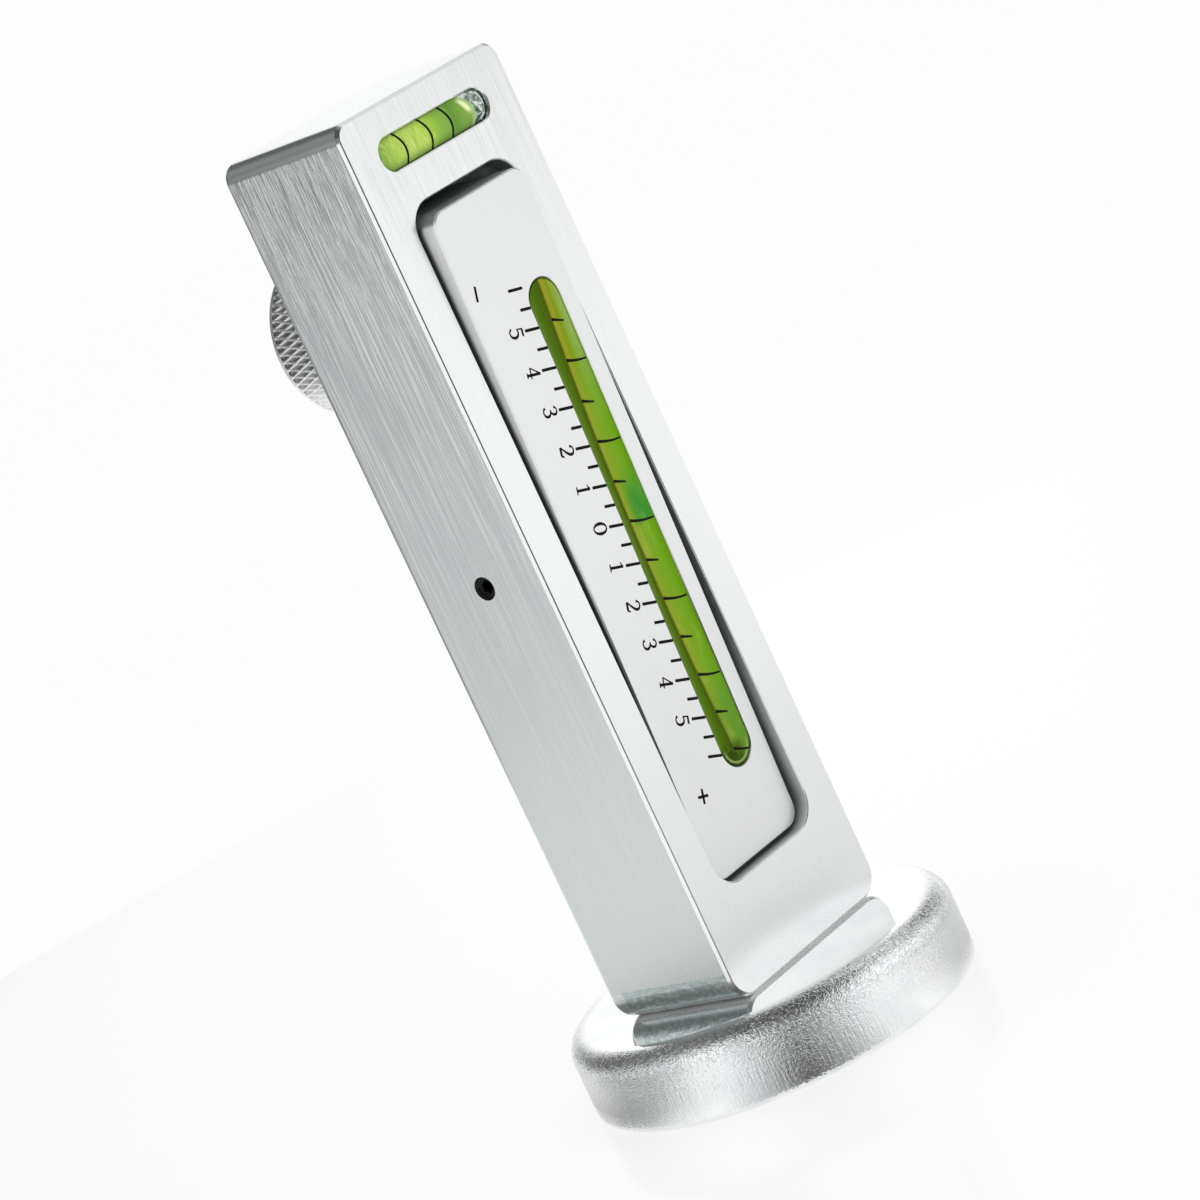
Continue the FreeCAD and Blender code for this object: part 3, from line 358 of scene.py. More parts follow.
def magnet_plating():
    """Bright plating: smooth on top, a fine hammered skin round the shoulder, drawn lines down the side."""
    paint = Paint("magnet_bright_plating", metallic=1.0)
    across, back, up = paint.place()
    radius = (across.squared() + back.squared()).math("SQRT")
    round_side = radius.rise(26.8, 28.4)
    skin = paint.noise(0.55, 0.55, 0.4, detail=1.0, roughness=0.5, distortion=1.2)
    drawn = paint.noise(0.36, 0.36, 2.4, detail=2.0, roughness=0.6)
    low = up.rise(8.0, 4.0)
    cloud = paint.noise(9.0, 9.0, 9.0, detail=2.0)
    relief = (skin * (low * -0.5 + 1.0) + drawn * (low * 1.1)) * round_side
    # Painted shade: the hammered skin's hollows are darker round the shoulder
    painted_pit_shade = skin.rise(0.52, 0.4) * up.rise(7.2, 9.6) * round_side
    plated = paint.blend(tone(236, 239, 240), tone(250, 251, 251), cloud.rise(0.3, 0.7))
    paint.set(
        base_color=paint.blend(plated, tone(176, 180, 181), painted_pit_shade * 0.5),
        roughness=cloud.rise(0.3, 0.7, 0.03, 0.05),
    )
    paint.bump(relief, 0.12)
    return paint.material


def clouded(name, colour, roughness, grain=0.5, metallic=1.0, depth=0.004):
    """One colour with a light clouding over it: a ground metal, or with metallic=0.0 a cast material."""
    paint = Paint(name, metallic=metallic)
    cloud = paint.noise(grain * 4, grain * 4, grain * 4, detail=3.0)
    fine = paint.noise(grain * 0.3, grain * 0.3, grain * 0.3, detail=2.0)
    darker = [level * 0.8 for level in colour[:3]] + [1.0]
    paint.set(
        base_color=paint.blend(darker, colour, cloud.rise(0.3, 0.7)),
        roughness=fine.rise(0.3, 0.7, roughness * 0.8, roughness * 1.2),
    )
    paint.bump(fine, depth)
    return paint.material


def ink():
    """Black print, a little worn."""
    paint = Paint("scale_ink", metallic=0.0)
    grain = paint.noise(0.12, 0.12, 0.12, detail=2.0)
    paint.set(
        base_color=paint.blend(tone(6, 6, 6), tone(22, 22, 21), grain.rise(0.45, 0.75)),
        roughness=grain.rise(0.3, 0.7, 0.55, 0.7),
        specular_ior_level=0.12,
    )
    return paint.material


def straight_half(vial):
    """Half the length of the straight part of a vial's face, between its round ends."""
    return (vial["length"] - vial["width"]) / 2


def from_middle_line(along, side, vial):
    """A field of the distance from the middle line of a vial's face."""
    reach = straight_half(vial)
    past_end = along - along.lower(reach).higher(-reach)
    return (past_end.squared() + side.squared()).math("SQRT")


def camber_vial_look():
    """Clear acrylic over green liquid: a painted shadow strip on the left, widest at both ends of the bent
    chamber.
    """
    paint = Paint("camber_vial", metallic=0.0, roughness=0.25, specular_ior_level=0.04)
    across, _, up = paint.place()
    from_left = across - SHADOW_STRIP_LEFT
    past = from_left - ((up - CHAMBER_MIDDLE).squared() * CHAMBER_BEND + SHADOW_STRIP_WIDTH)
    chamber_width = 6.0
    strip_width = 3.0

    # The liquid, from the chamber's left edge to its right one: low and middle part, then the top
    field = paint.ramp(
        past * (1 / chamber_width),
        (0.0, tone(148, 158, 48)),
        (0.1, tone(140, 164, 38)),
        (0.26, tone(126, 167, 34)),
        (0.45, tone(120, 167, 32)),
        (0.6, tone(112, 164, 14)),
        (0.78, tone(102, 156, 0)),
    )
    field_top = paint.ramp(
        past * (1 / chamber_width),
        (0.0, tone(150, 148, 34)),
        (0.12, tone(152, 158, 32)),
        (0.24, tone(128, 150, 16)),
        (0.38, tone(138, 170, 56)),
        (0.52, tone(148, 178, 92)),
        (0.66, tone(146, 170, 96)),
    )
    field = paint.blend(field, field_top, up.rise(13.0, 31.0))
    field = paint.blend(field, tone(92, 160, 44), up.rise(-22.0, -33.0) * past.rise(1.0, 3.0) * 0.8)
    field = paint.blend(field, tone(104, 150, 44), up.rise(-24.0, -34.0) * 0.7)
    bubble = up.rise(-2.4, -1.6) * up.rise(7.5, 0.5) * past.rise(0.3, 2.2)
    field = paint.blend(field, tone(58, 146, 44), bubble)
    cloud = paint.noise(1.3, 1.3, 5.0, detail=2.0)
    field = paint.blend(field, tone(172, 192, 92), cloud.rise(0.55, 0.85) * 0.35)
    field = paint.blend(field, tone(94, 138, 20), across.rise(7.0, 7.5) * 0.8)

    # A painted shadow strip down the left side, darkest next to the chamber, and a warm painted line at the
    # shadow's edge where the chamber begins
    painted_shadow_strip = paint.ramp(
        from_left * (1 / strip_width),
        (0.0, tone(110, 134, 72)),
        (0.1, tone(92, 122, 42)),
        (0.26, tone(80, 116, 10)),
        (0.55, tone(70, 106, 0)),
        (1.0, tone(70, 100, 0)),
    )
    painted_shadow_strip = paint.blend(painted_shadow_strip, tone(54, 84, 0), past.rise(-0.7, -0.1) * 0.7)
    colour = paint.blend(painted_shadow_strip, field, past.rise(-0.3, 0.3))
    painted_shadow_edge = past.rise(-0.7, -0.2) * past.rise(0.35, -0.05)
    colour = paint.blend(colour, tone(84, 82, 0), painted_shadow_edge * 0.55)

    # Painted shade in the dark round foot, and painted shade and a painted highlight line along both ends'
    # edge
    bowl = up.rise(-35.6, -37.6) * across.rise(6.6, 4.6)
    mottle = paint.noise(0.8, 0.8, 0.8, detail=2.0).rise(0.45, 0.65)
    bowl_tone = paint.blend(tone(44, 66, 0), tone(78, 110, 20), mottle)
    colour = paint.blend(colour, bowl_tone, bowl * 0.8)
    middle_across, middle_up = CAMBER_VIAL["centre"]
    out = from_middle_line(up - middle_up, across - middle_across, CAMBER_VIAL)
    at_end = abs(up - middle_up).rise(34.0, 36.4)
    colour = paint.blend(colour, tone(18, 30, 0), out.rise(2.95, 3.22) * at_end * 0.85)
    rim = out.rise(2.5, 2.65) * out.rise(2.95, 2.8) * up.rise(-36.5, -38.0)
    colour = paint.blend(colour, tone(168, 186, 118), rim * 0.7)
    paint.set(base_color=colour)
    return paint.material


def cross_vial_look():
    """Clear acrylic over lime liquid, with the air bubble at its right end; its shade and highlights are
    painted.
    """
    paint = Paint("cross_vial", metallic=0.0, roughness=0.2, specular_ior_level=0.1, coat_weight=0.25)
    paint.set(coat_roughness=0.03, coat_ior=1.3)
    across, _, up = paint.place()
    height = up - CROSS_VIAL["centre"][1]

    # The liquid from left to right, with its streaks and its glint
    ramp_length = 24.0
    colour = paint.ramp(
        across * (1 / ramp_length) + 0.5,
        (0.0, tone(126, 168, 74)),
        (0.06, tone(150, 190, 78)),
        (0.16, tone(178, 212, 84)),
        (0.27, tone(190, 216, 100)),
        (0.43, tone(180, 212, 84)),
        (0.48, tone(160, 202, 70)),
        (0.56, tone(136, 182, 62)),
        (0.64, tone(130, 174, 70)),
        (0.68, tone(100, 150, 48)),
        (0.76, tone(122, 168, 62)),
        (0.84, tone(136, 176, 78)),
    )
    streaks = paint.noise(0.5, 0.5, 2.4, detail=3.0, distortion=0.8)
    left_part = across.rise(0.5, -1.5)
    colour = paint.blend(colour, tone(220, 234, 140), streaks.rise(0.52, 0.72) * left_part * 0.7)
    colour = paint.blend(colour, tone(140, 184, 66), streaks.rise(0.46, 0.3) * left_part * 0.6)
    # Painted shade along the lower edge, and a little along the upper one
    colour = paint.blend(colour, tone(104, 144, 48), height.rise(-0.9, -2.3) * 0.6)
    colour = paint.blend(colour, tone(120, 160, 60), height.rise(1.6, 2.4) * 0.4)

    slanted = across + height * 0.5
    glint = slanted.rise(7.1, 7.7) * slanted.rise(8.7, 8.1)
    glint = glint * height.rise(-0.9, 0.3) * height.rise(2.3, 1.3)
    colour = paint.blend(colour, tone(244, 250, 190), glint)

    # The air right of the meniscus: painted shade low down, grey higher up, painted glints and dark patches,
    # and a painted highlight line along the meniscus
    meniscus_start = 8.9
    meniscus = across - meniscus_start + (height + 0.5).squared() * 0.22
    air = paint.blend(tone(44, 78, 50), tone(138, 152, 142), height.rise(-1.8, 0.6))
    painted_reflection_noise = paint.noise(1.3, 1.3, 0.9, detail=2.0, distortion=1.0)
    air = paint.blend(air, tone(236, 243, 238), painted_reflection_noise.rise(0.5, 0.62) * 0.85)
    air = paint.blend(air, tone(40, 58, 50), painted_reflection_noise.rise(0.46, 0.34) * 0.8)
    colour = paint.blend(colour, air, meniscus.rise(-0.15, 0.2))
    painted_highlight_edge = meniscus.rise(-0.8, -0.2) * meniscus.rise(0.3, -0.05)
    colour = paint.blend(colour, tone(172, 208, 150), painted_highlight_edge * 0.7)

    # Painted shade along the face's edge, and a painted highlight caught in its round end
    out = from_middle_line(across, height, CROSS_VIAL)
    colour = paint.blend(colour, tone(46, 70, 20), out.rise(2.18, 2.4) * 0.75)
    sparkle = out.rise(1.7, 1.85) * out.rise(2.15, 2.0) * across.rise(9.6, 10.0) * painted_reflection_noise.rise(0.38, 0.46)
    colour = paint.blend(colour, tone(244, 248, 246), sparkle)
    paint.set(base_color=colour)
    return paint.material


def knob_metal():
    """Bright knurled metal: turned ends, and a rim of ridges painted bright over cells painted grey as shade,
    white low down as painted light from below.
    """
    paint = Paint("knob_knurled_metal")
    across, _, up = paint.place()
    radius = (across.squared() + (up - KNOB_AXIS_Z).squared()).math("SQRT")
    turned = (radius * 22.0).math("SINE")
    ridge = radius.rise(KNOB_RADIUS - 0.3, KNOB_RADIUS - 0.05)
    rim = radius.rise(KNOB_RADIUS - 1.0, KNOB_RADIUS - 0.8)
    plain = paint.blend(tone(205, 208, 208), tone(228, 230, 230), turned.rise(-1.0, 1.0))
    # Painted light and shade: the cells grey, lighter higher up, the ridges nearly white, and the rim white
    # and not metallic low down in the frame, as if lit from below
    height = paint.standing()[2] - KNOB_AXIS_Z
    painted_light_below = height.rise(-2.0, -9.0) * rim
    cell = paint.blend(tone(140, 144, 145), tone(190, 194, 195), height.rise(3.0, 7.0))
    knurl = paint.blend(cell, tone(250, 250, 250), ridge)
    knurl = paint.blend(knurl, tone(255, 255, 255), painted_light_below)
    paint.set(
        base_color=paint.blend(plain, knurl, rim),
        metallic=painted_light_below * -0.9 + 1.0,
        roughness=paint.noise(0.4, 0.4, 0.4).rise(0.3, 0.7, 0.2, 0.32),
    )
    paint.bump(turned * (rim * -1.0 + 1.0), 0.004)
    return paint.material


SATIN_STEEL = clouded("satin_steel", tone(196, 198, 200), 0.3)
BLACK_STEEL = clouded("black_oxide_steel", tone(46, 46, 48), 0.42)
BRASS = clouded("turned_brass", tone(206, 172, 98), 0.26)
SPRING_STEEL = clouded("spring_steel", tone(168, 170, 174), 0.24)
BALL_STEEL = clouded("ball_steel", tone(224, 226, 230), 0.06)
FERRITE = clouded("ferrite", tone(52, 52, 54), 0.6, grain=0.3, metallic=0.0, depth=0.02)
RESIN = clouded("potting_resin", tone(34, 36, 38), 0.35, grain=1.5, metallic=0.0, depth=0.02)
ADHESIVE = clouded("adhesive", tone(214, 212, 198), 0.4, grain=0.8, metallic=0.0, depth=0.02)
LIQUID = clouded("vial_liquid", tone(150, 196, 40), 0.15, grain=1.0, metallic=0.0, depth=0.0)
PLUG = clouded("vial_plug", tone(206, 210, 206), 0.25, grain=0.6, metallic=0.0, depth=0.002)
INK = ink()

NODE_MATERIALS = {
    "magnet_cup": magnet_plating(),
    "centre_pole": SATIN_STEEL,
    "ring_magnet": FERRITE,
    "magnet_resin": RESIN,
    "magnet_screw": BLACK_STEEL,
    "post_body": post_metal(),
    "pivot_screws": BLACK_STEEL,
    "screw_bushing": BRASS,
    "return_spring": SPRING_STEEL,
    "cross_vial_liquid": LIQUID,
    "cross_vial_rings": INK,
    "cross_vial_plug": PLUG,
    "cross_vial_bed": ADHESIVE,
    "level_block": block_metal(),
    "pivot_bushes": BRASS,
    "thrust_button": SATIN_STEEL,
    "camber_vial_liquid": LIQUID,
    "camber_vial_plug": PLUG,
    "camber_vial_bed": ADHESIVE,
    "thrust_ball": BALL_STEEL,
    "adjusting_screw": SATIN_STEEL,
    "knob_set_screw": BLACK_STEEL,
}
for name, material in NODE_MATERIALS.items():
    for material_slot in NODES[name].material_slots:
        material_slot.material = material


# ---- pieces ---------------------------------------------------------------------------------------


def add_object(name, data):
    """A new object in the scene."""
    item = bpy.data.objects.new(name, data)
    bpy.context.scene.collection.objects.link(item)
    return item


def mesh_object(name, mesh, material):
    """An object from a bmesh, which is freed."""
    data = bpy.data.meshes.new(name)
    mesh.to_mesh(data)
    mesh.free()
    data.materials.append(material)
    return add_object(name, data)


def join_rings(mesh, rings):
    """Faces between each ring of vertices and the next, all the way round."""
    count = len(rings[0])
    for first, second in zip(rings, rings[1:]):
        for i in range(count):
            after = (i + 1) % count
            mesh.faces.new((first[i], first[after], second[after], second[i]))


def new_piece(name, mesh, body, material, frame_matrix=Matrix.Identity(4), crease=35):
    """A piece from a bmesh drawn in millimetres, on a body of the frame where one is named."""
    bmesh.ops.remove_doubles(mesh, verts=mesh.verts, dist=1e-4)
    bmesh.ops.recalc_face_normals(mesh, faces=mesh.faces)
    bmesh.ops.scale(mesh, vec=(MM, MM, MM), verts=mesh.verts)
    piece = mesh_object(name, mesh, material)
    piece.data.polygons.foreach_set("use_smooth", [True] * len(piece.data.polygons))
    piece.data.set_sharp_from_angle(angle=math.radians(crease))
    piece.matrix_world = frame_matrix
    if body is not None:
        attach(piece, body)
    return piece


def stadium_outline(length, width, inset, arc_steps=24):
    """Points round a slot's outline, drawn in by the inset, with its long side along the first axis."""
    reach = (length - width) / 2
    radius = width / 2 - inset
    points = []
    for side, start in ((1, -90), (-1, 90)):
        for step in range(arc_steps + 1):
            angle = math.radians(start + 180 * step / arc_steps)
            points.append((side * reach + radius * math.cos(angle), radius * math.sin(angle)))
    return points


def vial_surface(vial, across, up):
    """How far back the vial's bowed face lies at a place on it."""
    along, side = across - vial["centre"][0], up - vial["centre"][1]
    if vial["upright"]:
        along, side = side, along
    past = max(abs(along) - straight_half(vial), 0)
    out = math.hypot(past, side)
    return vial["front"] + vial["bow"] - math.sqrt(vial["bow"] ** 2 - out ** 2)


def vial_bar(name, vial, body, material, frame_matrix, node):
    """A clear bar with a bowed face, in place of its CAD node."""
    mesh = bmesh.new()
    half = vial["width"] / 2
    insets = [0, 0, 0.12, 0.3, 0.6, 0.9, 1.3, 1.7, half]
    rings = []
    for level, inset in enumerate(insets):
        ring = []
        for along, side in stadium_outline(vial["length"], vial["width"], inset):
            across, up = (side, along) if vial["upright"] else (along, side)
            across += vial["centre"][0]
            up += vial["centre"][1]
            back = vial["back"] if level == 0 else vial_surface(vial, across, up)
            ring.append(mesh.verts.new((across, back, up)))
        rings.append(ring)
    join_rings(mesh, rings)
    mesh.faces.new(rings[0])
    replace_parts(new_piece(name, mesh, body, material, frame_matrix, crease=50), node)


def strip(mesh, points, widths, surface, proud=0.02, sunk=0.03):
    """A thin printed line through points given as across and up, a little proud of the surface it lies on."""
    count = len(points)
    rows = []
    for i, (across, up) in enumerate(points):
        before = points[max(i - 1, 0)]
        after = points[min(i + 1, count - 1)]
        run = Vector((after[0] - before[0], after[1] - before[1])).normalized()
        half = widths[i] / 2
        row = []
        for side, level in ((1, -proud), (-1, -proud), (-1, sunk), (1, sunk)):
            x = across - run.y * half * side
            z = up + run.x * half * side
            row.append(mesh.verts.new((x, surface(x, z) + level, z)))
        rows.append(row)
    join_rings(mesh, rows)
    mesh.faces.new(rows[0])
    mesh.faces.new(rows[-1])


def eased(points, widths, steps=6):
    """A smooth Catmull-Rom curve through the points, with the widths between them."""
    curve = []
    spread = []
    padded = [points[0], *points, points[-1]]
    for i in range(len(points) - 1):
        a, b, c, d = (Vector(p) for p in padded[i:i + 4])
        for step in range(steps):
            t = step / steps
            place = 0.5 * (2 * b + (c - a) * t + (2 * a - 5 * b + 4 * c - d) * t * t
                           + (3 * b - a - 3 * c + d) * t * t * t)
            curve.append((place.x, place.y))
            spread.append(widths[i] + (widths[i + 1] - widths[i]) * t)
    curve.append(points[-1])
    spread.append(widths[-1])
    return curve, spread


# Numerals one unit high: strokes as (right, up, width)
NUMERALS = {
    "0": [[(0.28, 0.97, 0.05), (0.10, 0.82, 0.10), (0.03, 0.50, 0.14), (0.10, 0.18, 0.10), (0.28, 0.03, 0.05),
           (0.46, 0.18, 0.10), (0.53, 0.50, 0.14), (0.46, 0.82, 0.10), (0.28, 0.97, 0.05)]],
    "1": [[(0.28, 0.96, 0.12), (0.28, 0.03, 0.12)],
          [(0.06, 0.80, 0.04), (0.16, 0.84, 0.05), (0.28, 0.95, 0.07)],
          [(0.08, 0.03, 0.06), (0.48, 0.03, 0.06)]],
    "2": [[(0.07, 0.72, 0.12), (0.12, 0.88, 0.07), (0.27, 0.96, 0.06), (0.44, 0.88, 0.10), (0.48, 0.70, 0.13),
           (0.38, 0.48, 0.10), (0.20, 0.24, 0.07), (0.06, 0.07, 0.06)],
          [(0.05, 0.06, 0.12), (0.42, 0.06, 0.12), (0.50, 0.10, 0.08), (0.55, 0.24, 0.04)]],
    "3": [[(0.07, 0.78, 0.13), (0.13, 0.91, 0.06), (0.27, 0.97, 0.06), (0.42, 0.88, 0.10), (0.43, 0.70, 0.11),
           (0.33, 0.56, 0.07), (0.18, 0.53, 0.05)],
          [(0.18, 0.53, 0.05), (0.36, 0.50, 0.07), (0.49, 0.36, 0.12), (0.48, 0.16, 0.11), (0.32, 0.03, 0.06),
           (0.15, 0.05, 0.06), (0.06, 0.17, 0.13)]],
    "4": [[(0.38, 0.97, 0.05), (0.02, 0.30, 0.05)],
          [(0.02, 0.30, 0.06), (0.57, 0.30, 0.06)],
          [(0.38, 0.98, 0.12), (0.38, 0.03, 0.12)],
          [(0.24, 0.03, 0.05), (0.52, 0.03, 0.05)]],
    "5": [[(0.11, 0.92, 0.10), (0.44, 0.92, 0.10), (0.50, 0.97, 0.05)],
          [(0.12, 0.94, 0.06), (0.09, 0.56, 0.05)],
          [(0.09, 0.56, 0.05), (0.26, 0.62, 0.07), (0.43, 0.53, 0.11), (0.49, 0.34, 0.13), (0.43, 0.13, 0.10),
           (0.27, 0.03, 0.06), (0.12, 0.06, 0.06), (0.05, 0.17, 0.12)]],
}
NUMERAL_MIDDLE = (0.28, 0.5)


def block_face(across, up):
    """How far back the block's flat front lies at a place on it."""
    return BLOCK_FRONT


def slant(degree):
    """The lines fan out a little from the top of the scale to its foot."""
    return math.radians(-16.6 + 0.77 * degree)


def scale_point(degree, across):
    """A point on a degree's slanted line, at a distance across the block."""
    return (across, SCALE_ZERO + degree * DEGREE + (across - TICK_END) * math.tan(slant(degree)))


def draw_numeral(mesh, figure, middle, height, lean):
    """A numeral that reads with the block's top turned to the left, slanted with the lines."""
    up_way = Vector((math.cos(lean), math.sin(lean)))
    right_way = Vector((up_way.y, -up_way.x))
    for stroke in NUMERALS[figure]:
        points = []
        for right, up, _ in stroke:
            place = Vector(middle) + right_way * (right - NUMERAL_MIDDLE[0]) * height
            place += up_way * (up - NUMERAL_MIDDLE[1]) * height
            points.append((place.x, place.y))
        widths = [(width * 1.1 + 0.015) * height for _, _, width in stroke]
        if len(points) > 3:
            points, widths = eased(points, widths)
        strip(mesh, points, widths, block_face)


def make_scale():
    """A tick each half degree, a numeral each degree up to five, and a minus and a plus sign at the ends."""
    mesh = bmesh.new()
    tick_widths = {0: 0.28, 0.05: 0.44, 0.97: 0.45, 1.0: 0.3}
    for half_degree in range(-12, 13):
        degree = half_degree / 2
        lean = slant(degree)
        length = 3.0 if half_degree % 2 == 0 else 2.2
        start = Vector(scale_point(degree, TICK_END))
        way = Vector((math.cos(lean), math.sin(lean))) * -1
        points = [start + way * length * share for share in tick_widths]
        strip(mesh, [(point.x, point.y) for point in points], list(tick_widths.values()), block_face)
    for degree in range(-5, 6):
        middle = scale_point(degree, NUMERAL_X)
        draw_numeral(mesh, str(abs(degree)), middle, NUMERAL_HEIGHT, slant(degree))
    minus = ((-8.2, 38.6), (0,))
    plus = ((-6.1, -40.2), (0, 90))
    sign_lean = -106.6
    sign_half = 1.1
    sign_width = 0.42
    for middle, bars in (minus, plus):
        for turn in bars:
            angle = math.radians(turn + sign_lean)
            reach = Vector((math.cos(angle), math.sin(angle))) * sign_half
            ends = [Vector(middle) - reach, Vector(middle) + reach]
            strip(mesh, [(end.x, end.y) for end in ends], [sign_width, sign_width], block_face)
    new_piece("camber_scale", mesh, "block", INK, BLOCK_FRAME)


def make_vial_marks():
    """Curved lines on the camber vial: long at each second degree, short between."""
    mesh = bmesh.new()

    def face(across, up):
        return vial_surface(CAMBER_VIAL, across, up)

    right_end = 7.4
    short_reach = 2.3
    steps = 12
    for degree in range(-6, 6):
        height = SCALE_ZERO + degree * (DEGREE + 0.03) - 0.16
        left = SHADOW_STRIP_LEFT + SHADOW_STRIP_WIDTH + CHAMBER_BEND * (height - CHAMBER_MIDDLE) ** 2
        long_mark = degree % 2 == 0
        reach = right_end - left if long_mark else short_reach
        fall, bend = (0.49 - 0.012 * degree, 0.0386) if long_mark else (0.47, 0.012)
        points = []
        widths = []
        for step in range(steps + 1):
            run = reach * step / steps
            points.append((left + run, height - fall * run + bend * run ** 2))
            widths.append(0.46 - 0.2 * step / steps)
        strip(mesh, points, widths, face, proud=0.01)
    new_piece("camber_vial_marks", mesh, "block", INK, BLOCK_FRAME)


def make_cross_rings():
    """The three rings' lines, where they show through the cross vial's bowed face."""
    mesh = bmesh.new()

    def face(across, up):
        return vial_surface(CROSS_VIAL, across, up)

    half = CROSS_VIAL["width"] / 2 - 0.02
    bend = 0.105
    line_width = 0.42
    steps = 20
    for middle in (-6.68, -1.08, 3.62):
        points = []
        for step in range(steps + 1):
            height = half * (1 - 2 * step / steps)
            points.append((middle - bend * (height + 0.6) ** 2, CROSS_VIAL["centre"][1] + height))
        strip(mesh, points, [line_width] * len(points), face, proud=0.01)
    new_piece("cross_vial_lines", mesh, "post", INK)


def knurl(angle, back):
    """Height of the knurl's crossing ridges, from 0 in the cells to 1 on a ridge."""
    ridge_share = 0.55
    height = 0
    for way in (1, -1):
        turns = (angle + way * KNURL_LEAN * back / KNOB_RADIUS) * KNURL_RIDGES / (2 * math.pi)
        off_ridge = abs(turns - round(turns)) * 2
        height = max(height, 1 - off_ridge / ridge_share)
    return height


def make_knob():
    """The knurled knob: a plain band at the back of its rim, and a dished back."""
    around = KNURL_RIDGES * 8
    along = 32
    bore = 3.02
    near = KNOB_NEAR
    far = near + KNOB_LENGTH
    dish = far - 0.8
    knurl_start = near + 0.7
    knurl_end = far - 0.75
    shoulder = KNOB_RADIUS - 0.1

    front = [(bore, dish), (bore, near), (bore + 0.3, near), (7.0, near), (KNOB_RADIUS - 1.1, near)]
    rim = [knurl_start + (knurl_end - knurl_start) * step / along for step in range(along + 1)]
    band = [(shoulder, knurl_end), (shoulder, far - 0.2), (shoulder - 0.2, far)]
    tail = [(9.0, far), (7.5, far), (6.7, dish), (5.0, dish), (bore, dish)]
    rows = [(radius, back, False) for radius, back in front]
    rows += [(KNOB_RADIUS, back, True) for back in rim]
    rows += [(radius, back, False) for radius, back in band + tail]

    mesh = bmesh.new()
    rings = []
    for radius, back, knurled in rows:
        ring = []
        for step in range(around):
            angle = 2 * math.pi * step / around
            reach = radius
            if knurled:
                reach -= KNURL_DEPTH * (1 - knurl(angle, back))
            place = (reach * math.cos(angle), back, KNOB_AXIS_Z + reach * math.sin(angle))
            ring.append(mesh.verts.new(place))
        rings.append(ring)
    join_rings(mesh, rings)
    knob = new_piece("knurled_knob", mesh, "knob", knob_metal(), crease=28)
    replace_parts(knob, "adjusting_knob")


def make_spring():
    """The flat-wire spring, wound to fill the box of the CAD spring it replaces."""
    low, high = (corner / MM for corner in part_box("return_spring"))
    turns = 5.5
    steps = 264
    wire_width = 0.9
    wire_thickness = 0.5
    middle = (low.z + high.z) / 2
    outer = (high.z - low.z) / 2
    inner = outer - wire_width
    section = ((inner, 0), (outer, 0), (outer, wire_thickness), (inner, wire_thickness))
    mesh = bmesh.new()
    rings = []
    for step in range(steps + 1):
        angle = 2 * math.pi * turns * step / steps
        back = low.y + (high.y - wire_thickness - low.y) * step / steps
        ring = []
        for radius, rise in section:
            place = (radius * math.cos(angle), back + rise, middle + radius * math.sin(angle))
            ring.append(mesh.verts.new(place))
        rings.append(ring)
    join_rings(mesh, rings)
    mesh.faces.new(rings[0])
    mesh.faces.new(rings[-1])
    spring = new_piece("flat_wire_spring", mesh, None, SPRING_STEEL)
    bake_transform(spring)
    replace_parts(spring, "return_spring")


vial_bar("camber_vial_bar", CAMBER_VIAL, "block", camber_vial_look(), BLOCK_FRAME,
         "camber_vial_body")
vial_bar("cross_vial_bar", CROSS_VIAL, "post", cross_vial_look(), Matrix.Identity(4),
         "cross_vial_body")
make_scale()
make_vial_marks()
make_cross_rings()
make_knob()
make_spring()


# ---- camera, floor and light ----------------------------------------------------------------------

# The lengths from here on are metres, apart from those in the tent's cloth

# The camera is fitted to the straight edges of the post and to the magnet's ellipses
camera = add_object("camera", bpy.data.cameras.new("camera"))
camera.location = (-0.48386, -0.47589, 0.19996)
camera.rotation_euler = [math.radians(angle) for angle in (78.005, 24.478, -50.655)]
camera.data.lens = 145.45
camera.data.sensor_width = 36.0
bpy.context.scene.camera = camera


FLOOR_HALF = 30.0


def white_ground():
    """The floor's material: it glows where it is seen, directly or in metal or glass, and casts no glow."""
    material = bpy.data.materials.new("studio_white")
    material.use_nodes = True
    tree = material.node_tree
    shader = tree.nodes["Principled BSDF"]
    shader.inputs["Base Color"].default_value = (0.98, 0.98, 0.98, 1)
    shader.inputs["Roughness"].default_value = 0.14
    glow = tree.nodes.new("ShaderNodeEmission")
    glow.inputs["Strength"].default_value = 1.0
    path = tree.nodes.new("ShaderNodeLightPath")
    seen = path.outputs["Is Camera Ray"]
    for ray in ("Is Glossy Ray", "Is Transmission Ray"):
        either = tree.nodes.new("ShaderNodeMath")
        either.operation = "MAXIMUM"
        tree.links.new(seen, either.inputs[0])
        tree.links.new(path.outputs[ray], either.inputs[1])
        seen = either.outputs[0]
    glow_share = 0.65
    share = tree.nodes.new("ShaderNodeMath")
    share.operation = "MULTIPLY"
    share.inputs[1].default_value = glow_share
    tree.links.new(seen, share.inputs[0])
    mix = tree.nodes.new("ShaderNodeMixShader")
    tree.links.new(share.outputs[0], mix.inputs[0])
    tree.links.new(shader.outputs[0], mix.inputs[1])
    tree.links.new(glow.outputs[0], mix.inputs[2])
    tree.links.new(mix.outputs[0], tree.nodes["Material Output"].inputs[0])
    return material


def make_floor():
    """A wide flat floor."""
    mesh = bmesh.new()
    bmesh.ops.create_grid(mesh, x_segments=1, y_segments=1, size=FLOOR_HALF)
    floor = mesh_object("floor", mesh, white_ground())


# The tent's outline, as radius and height
TENT_PROFILE = ((0.031, 0.0004), (0.30, 0.0004), (0.34, 0.02), (0.36, 0.10),
                (0.36, 0.34), (0.26, 0.50), (0.001, 0.56))

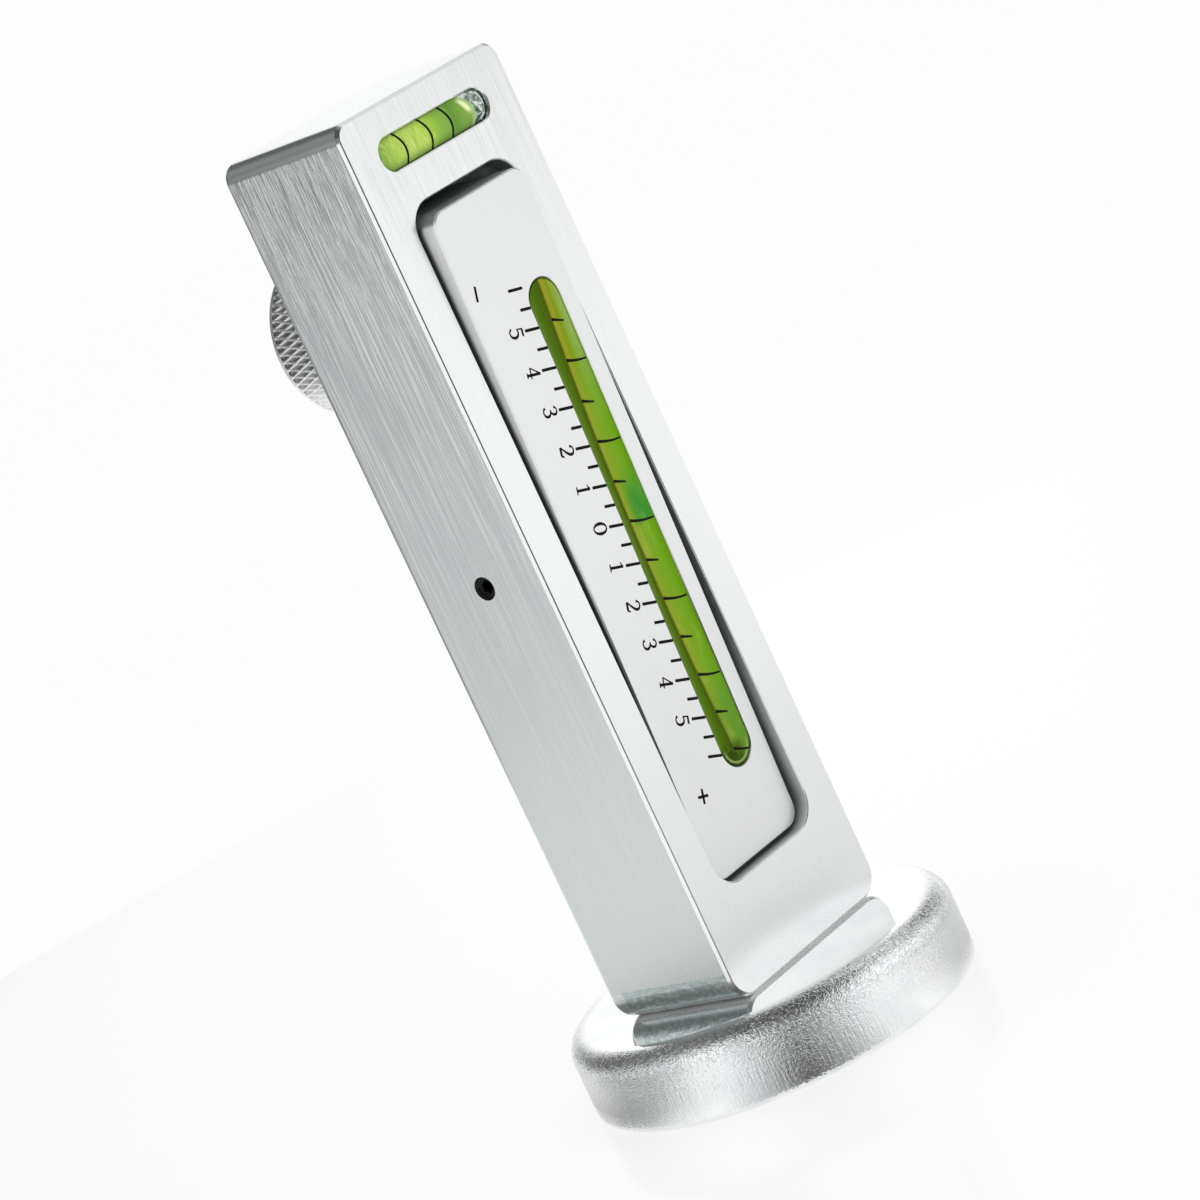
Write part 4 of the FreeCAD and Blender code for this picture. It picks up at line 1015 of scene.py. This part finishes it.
# How bright the tent's cloth is in five zones, each 15 degrees round from -X through -Y, +X and +Y
NEAR_FLOOR = (0.78, 1.05, 0.62, 0.1, 0.42, 0.9, 1.0, 0.82, 0.62, 0.62, 0.7, 0.75,
              0.8, 0.8, 0.8, 0.8, 0.8, 0.8, 0.8, 0.77, 0.7, 0.54, 0.38, 0.42, 0.78)
FAR_FLOOR = (1.0, 1.0, 1.0, 1.1, 1.0, 1.0, 0.97, 0.94, 0.92, 0.9, 0.88, 0.86,
             0.9, 0.95, 1.0, 1.05, 1.05, 1.05, 1.05, 0.95, 0.85, 0.78, 0.82, 0.9, 1.0)
LOW_WALL = (1.2, 1.2, 0.4, 0.2, 0.2, 0.75, 1.25, 1.25, 1.12, 1.08, 0.98, 0.65,
            0.6, 0.9, 1.1, 1.15, 0.8, 0.4, 0.2, 0.26, 0.45, 0.68, 0.75, 1.0, 1.2)
HIGH_WALL = (0.93, 0.93, 0.35, 0.22, 0.2, 0.4, 0.95, 1.05, 1.1, 0.95, 0.55, 0.3,
             0.2, 0.5, 1.05, 1.2, 1.05, 0.6, 0.16, 0.15, 0.16, 0.25, 0.6, 0.8, 0.93)
CEILING = (0.18, 0.1, 0.08, 0.08, 0.08, 0.09, 0.12, 0.25, 0.35, 0.6, 1.0, 0.95,
           0.75, 0.65, 0.5, 0.3, 0.12, 0.12, 0.15, 0.24, 0.26, 0.22, 0.2, 0.22, 0.18)


def tent_cloth():
    """Cloth that glows inward, in its five zones, and is clear from outside."""
    paint = Paint("tent_cloth")
    turn = paint.add("ShaderNodeTexGradient", gradient_type="RADIAL")
    paint.feed(turn.inputs[0], paint.coordinates.outputs["Object"])
    compass = Field(paint, turn.outputs["Fac"])

    def cloth(levels):
        last = len(levels) - 1
        return paint.ramp(compass, *((i / last, (level, level, level, 1)) for i, level in enumerate(levels)))

    across, back, up = paint.place()
    radius = (across.squared() + back.squared()).math("SQRT")
    shade = paint.blend(cloth(NEAR_FLOOR), cloth(FAR_FLOOR), radius.rise(62.0, 90.0))
    shade = paint.blend(shade, cloth(LOW_WALL), radius.rise(225.0, 280.0))
    shade = paint.blend(shade, cloth(HIGH_WALL), up.rise(90.0, 135.0))
    shade = paint.blend(shade, cloth(CEILING), up.rise(300.0, 370.0))
    shade = paint.blend(shade, (0.12, 0.12, 0.12, 1), up.rise(505.0, 530.0))
    glow = paint.add("ShaderNodeEmission")
    paint.feed(glow.inputs["Color"], shade)
    clear = paint.add("ShaderNodeBsdfTransparent")
    facing = paint.add("ShaderNodeNewGeometry")
    mix = paint.add("ShaderNodeMixShader")
    paint.feed(mix.inputs[0], facing.outputs["Backfacing"])
    paint.feed(mix.inputs[1], glow.outputs[0])
    paint.feed(mix.inputs[2], clear.outputs[0])
    paint.feed(paint.tree.nodes["Material Output"].inputs[0], mix.outputs[0])
    return paint.material


def light_tent():
    """A round tent of white and grey cloth round the object, seen only in reflections."""
    mesh = bmesh.new()
    around = 96
    rings = []
    for radius, height in TENT_PROFILE:
        ring = []
        for step in range(around):
            angle = -2 * math.pi * step / around
            ring.append(mesh.verts.new((radius * math.cos(angle), radius * math.sin(angle), height)))
        rings.append(ring)
    join_rings(mesh, rings)
    tent = mesh_object("light_tent", mesh, tent_cloth())
    tent.visible_camera = False
    tent.visible_diffuse = False
    tent.visible_transmission = False
    tent.visible_shadow = False


def lamp(name, place, power):
    """A square area light that looks at the object's middle."""
    aim = Vector((0, 0, 0.07))
    light = bpy.data.lights.new(name, "AREA")
    light.energy = power
    light.size = 0.45
    item = add_object(name, light)
    item.location = place
    item.rotation_mode = "QUATERNION"
    item.rotation_quaternion = (aim - Vector(place)).to_track_quat("-Z", "Y")
    item.visible_glossy = False


make_floor()
light_tent()
lamp("lamp_right", (0.35, -1.15, 0.40), 1.2)
lamp("lamp_left", (-1.15, 0.10, 0.40), 0.9)

world = bpy.data.worlds.new("studio")
bpy.context.scene.world = world
world.use_nodes = True
world.node_tree.nodes["Background"].inputs["Color"].default_value = (0.95, 0.95, 0.95, 1)
bpy.context.scene.view_settings.view_transform = "Standard"
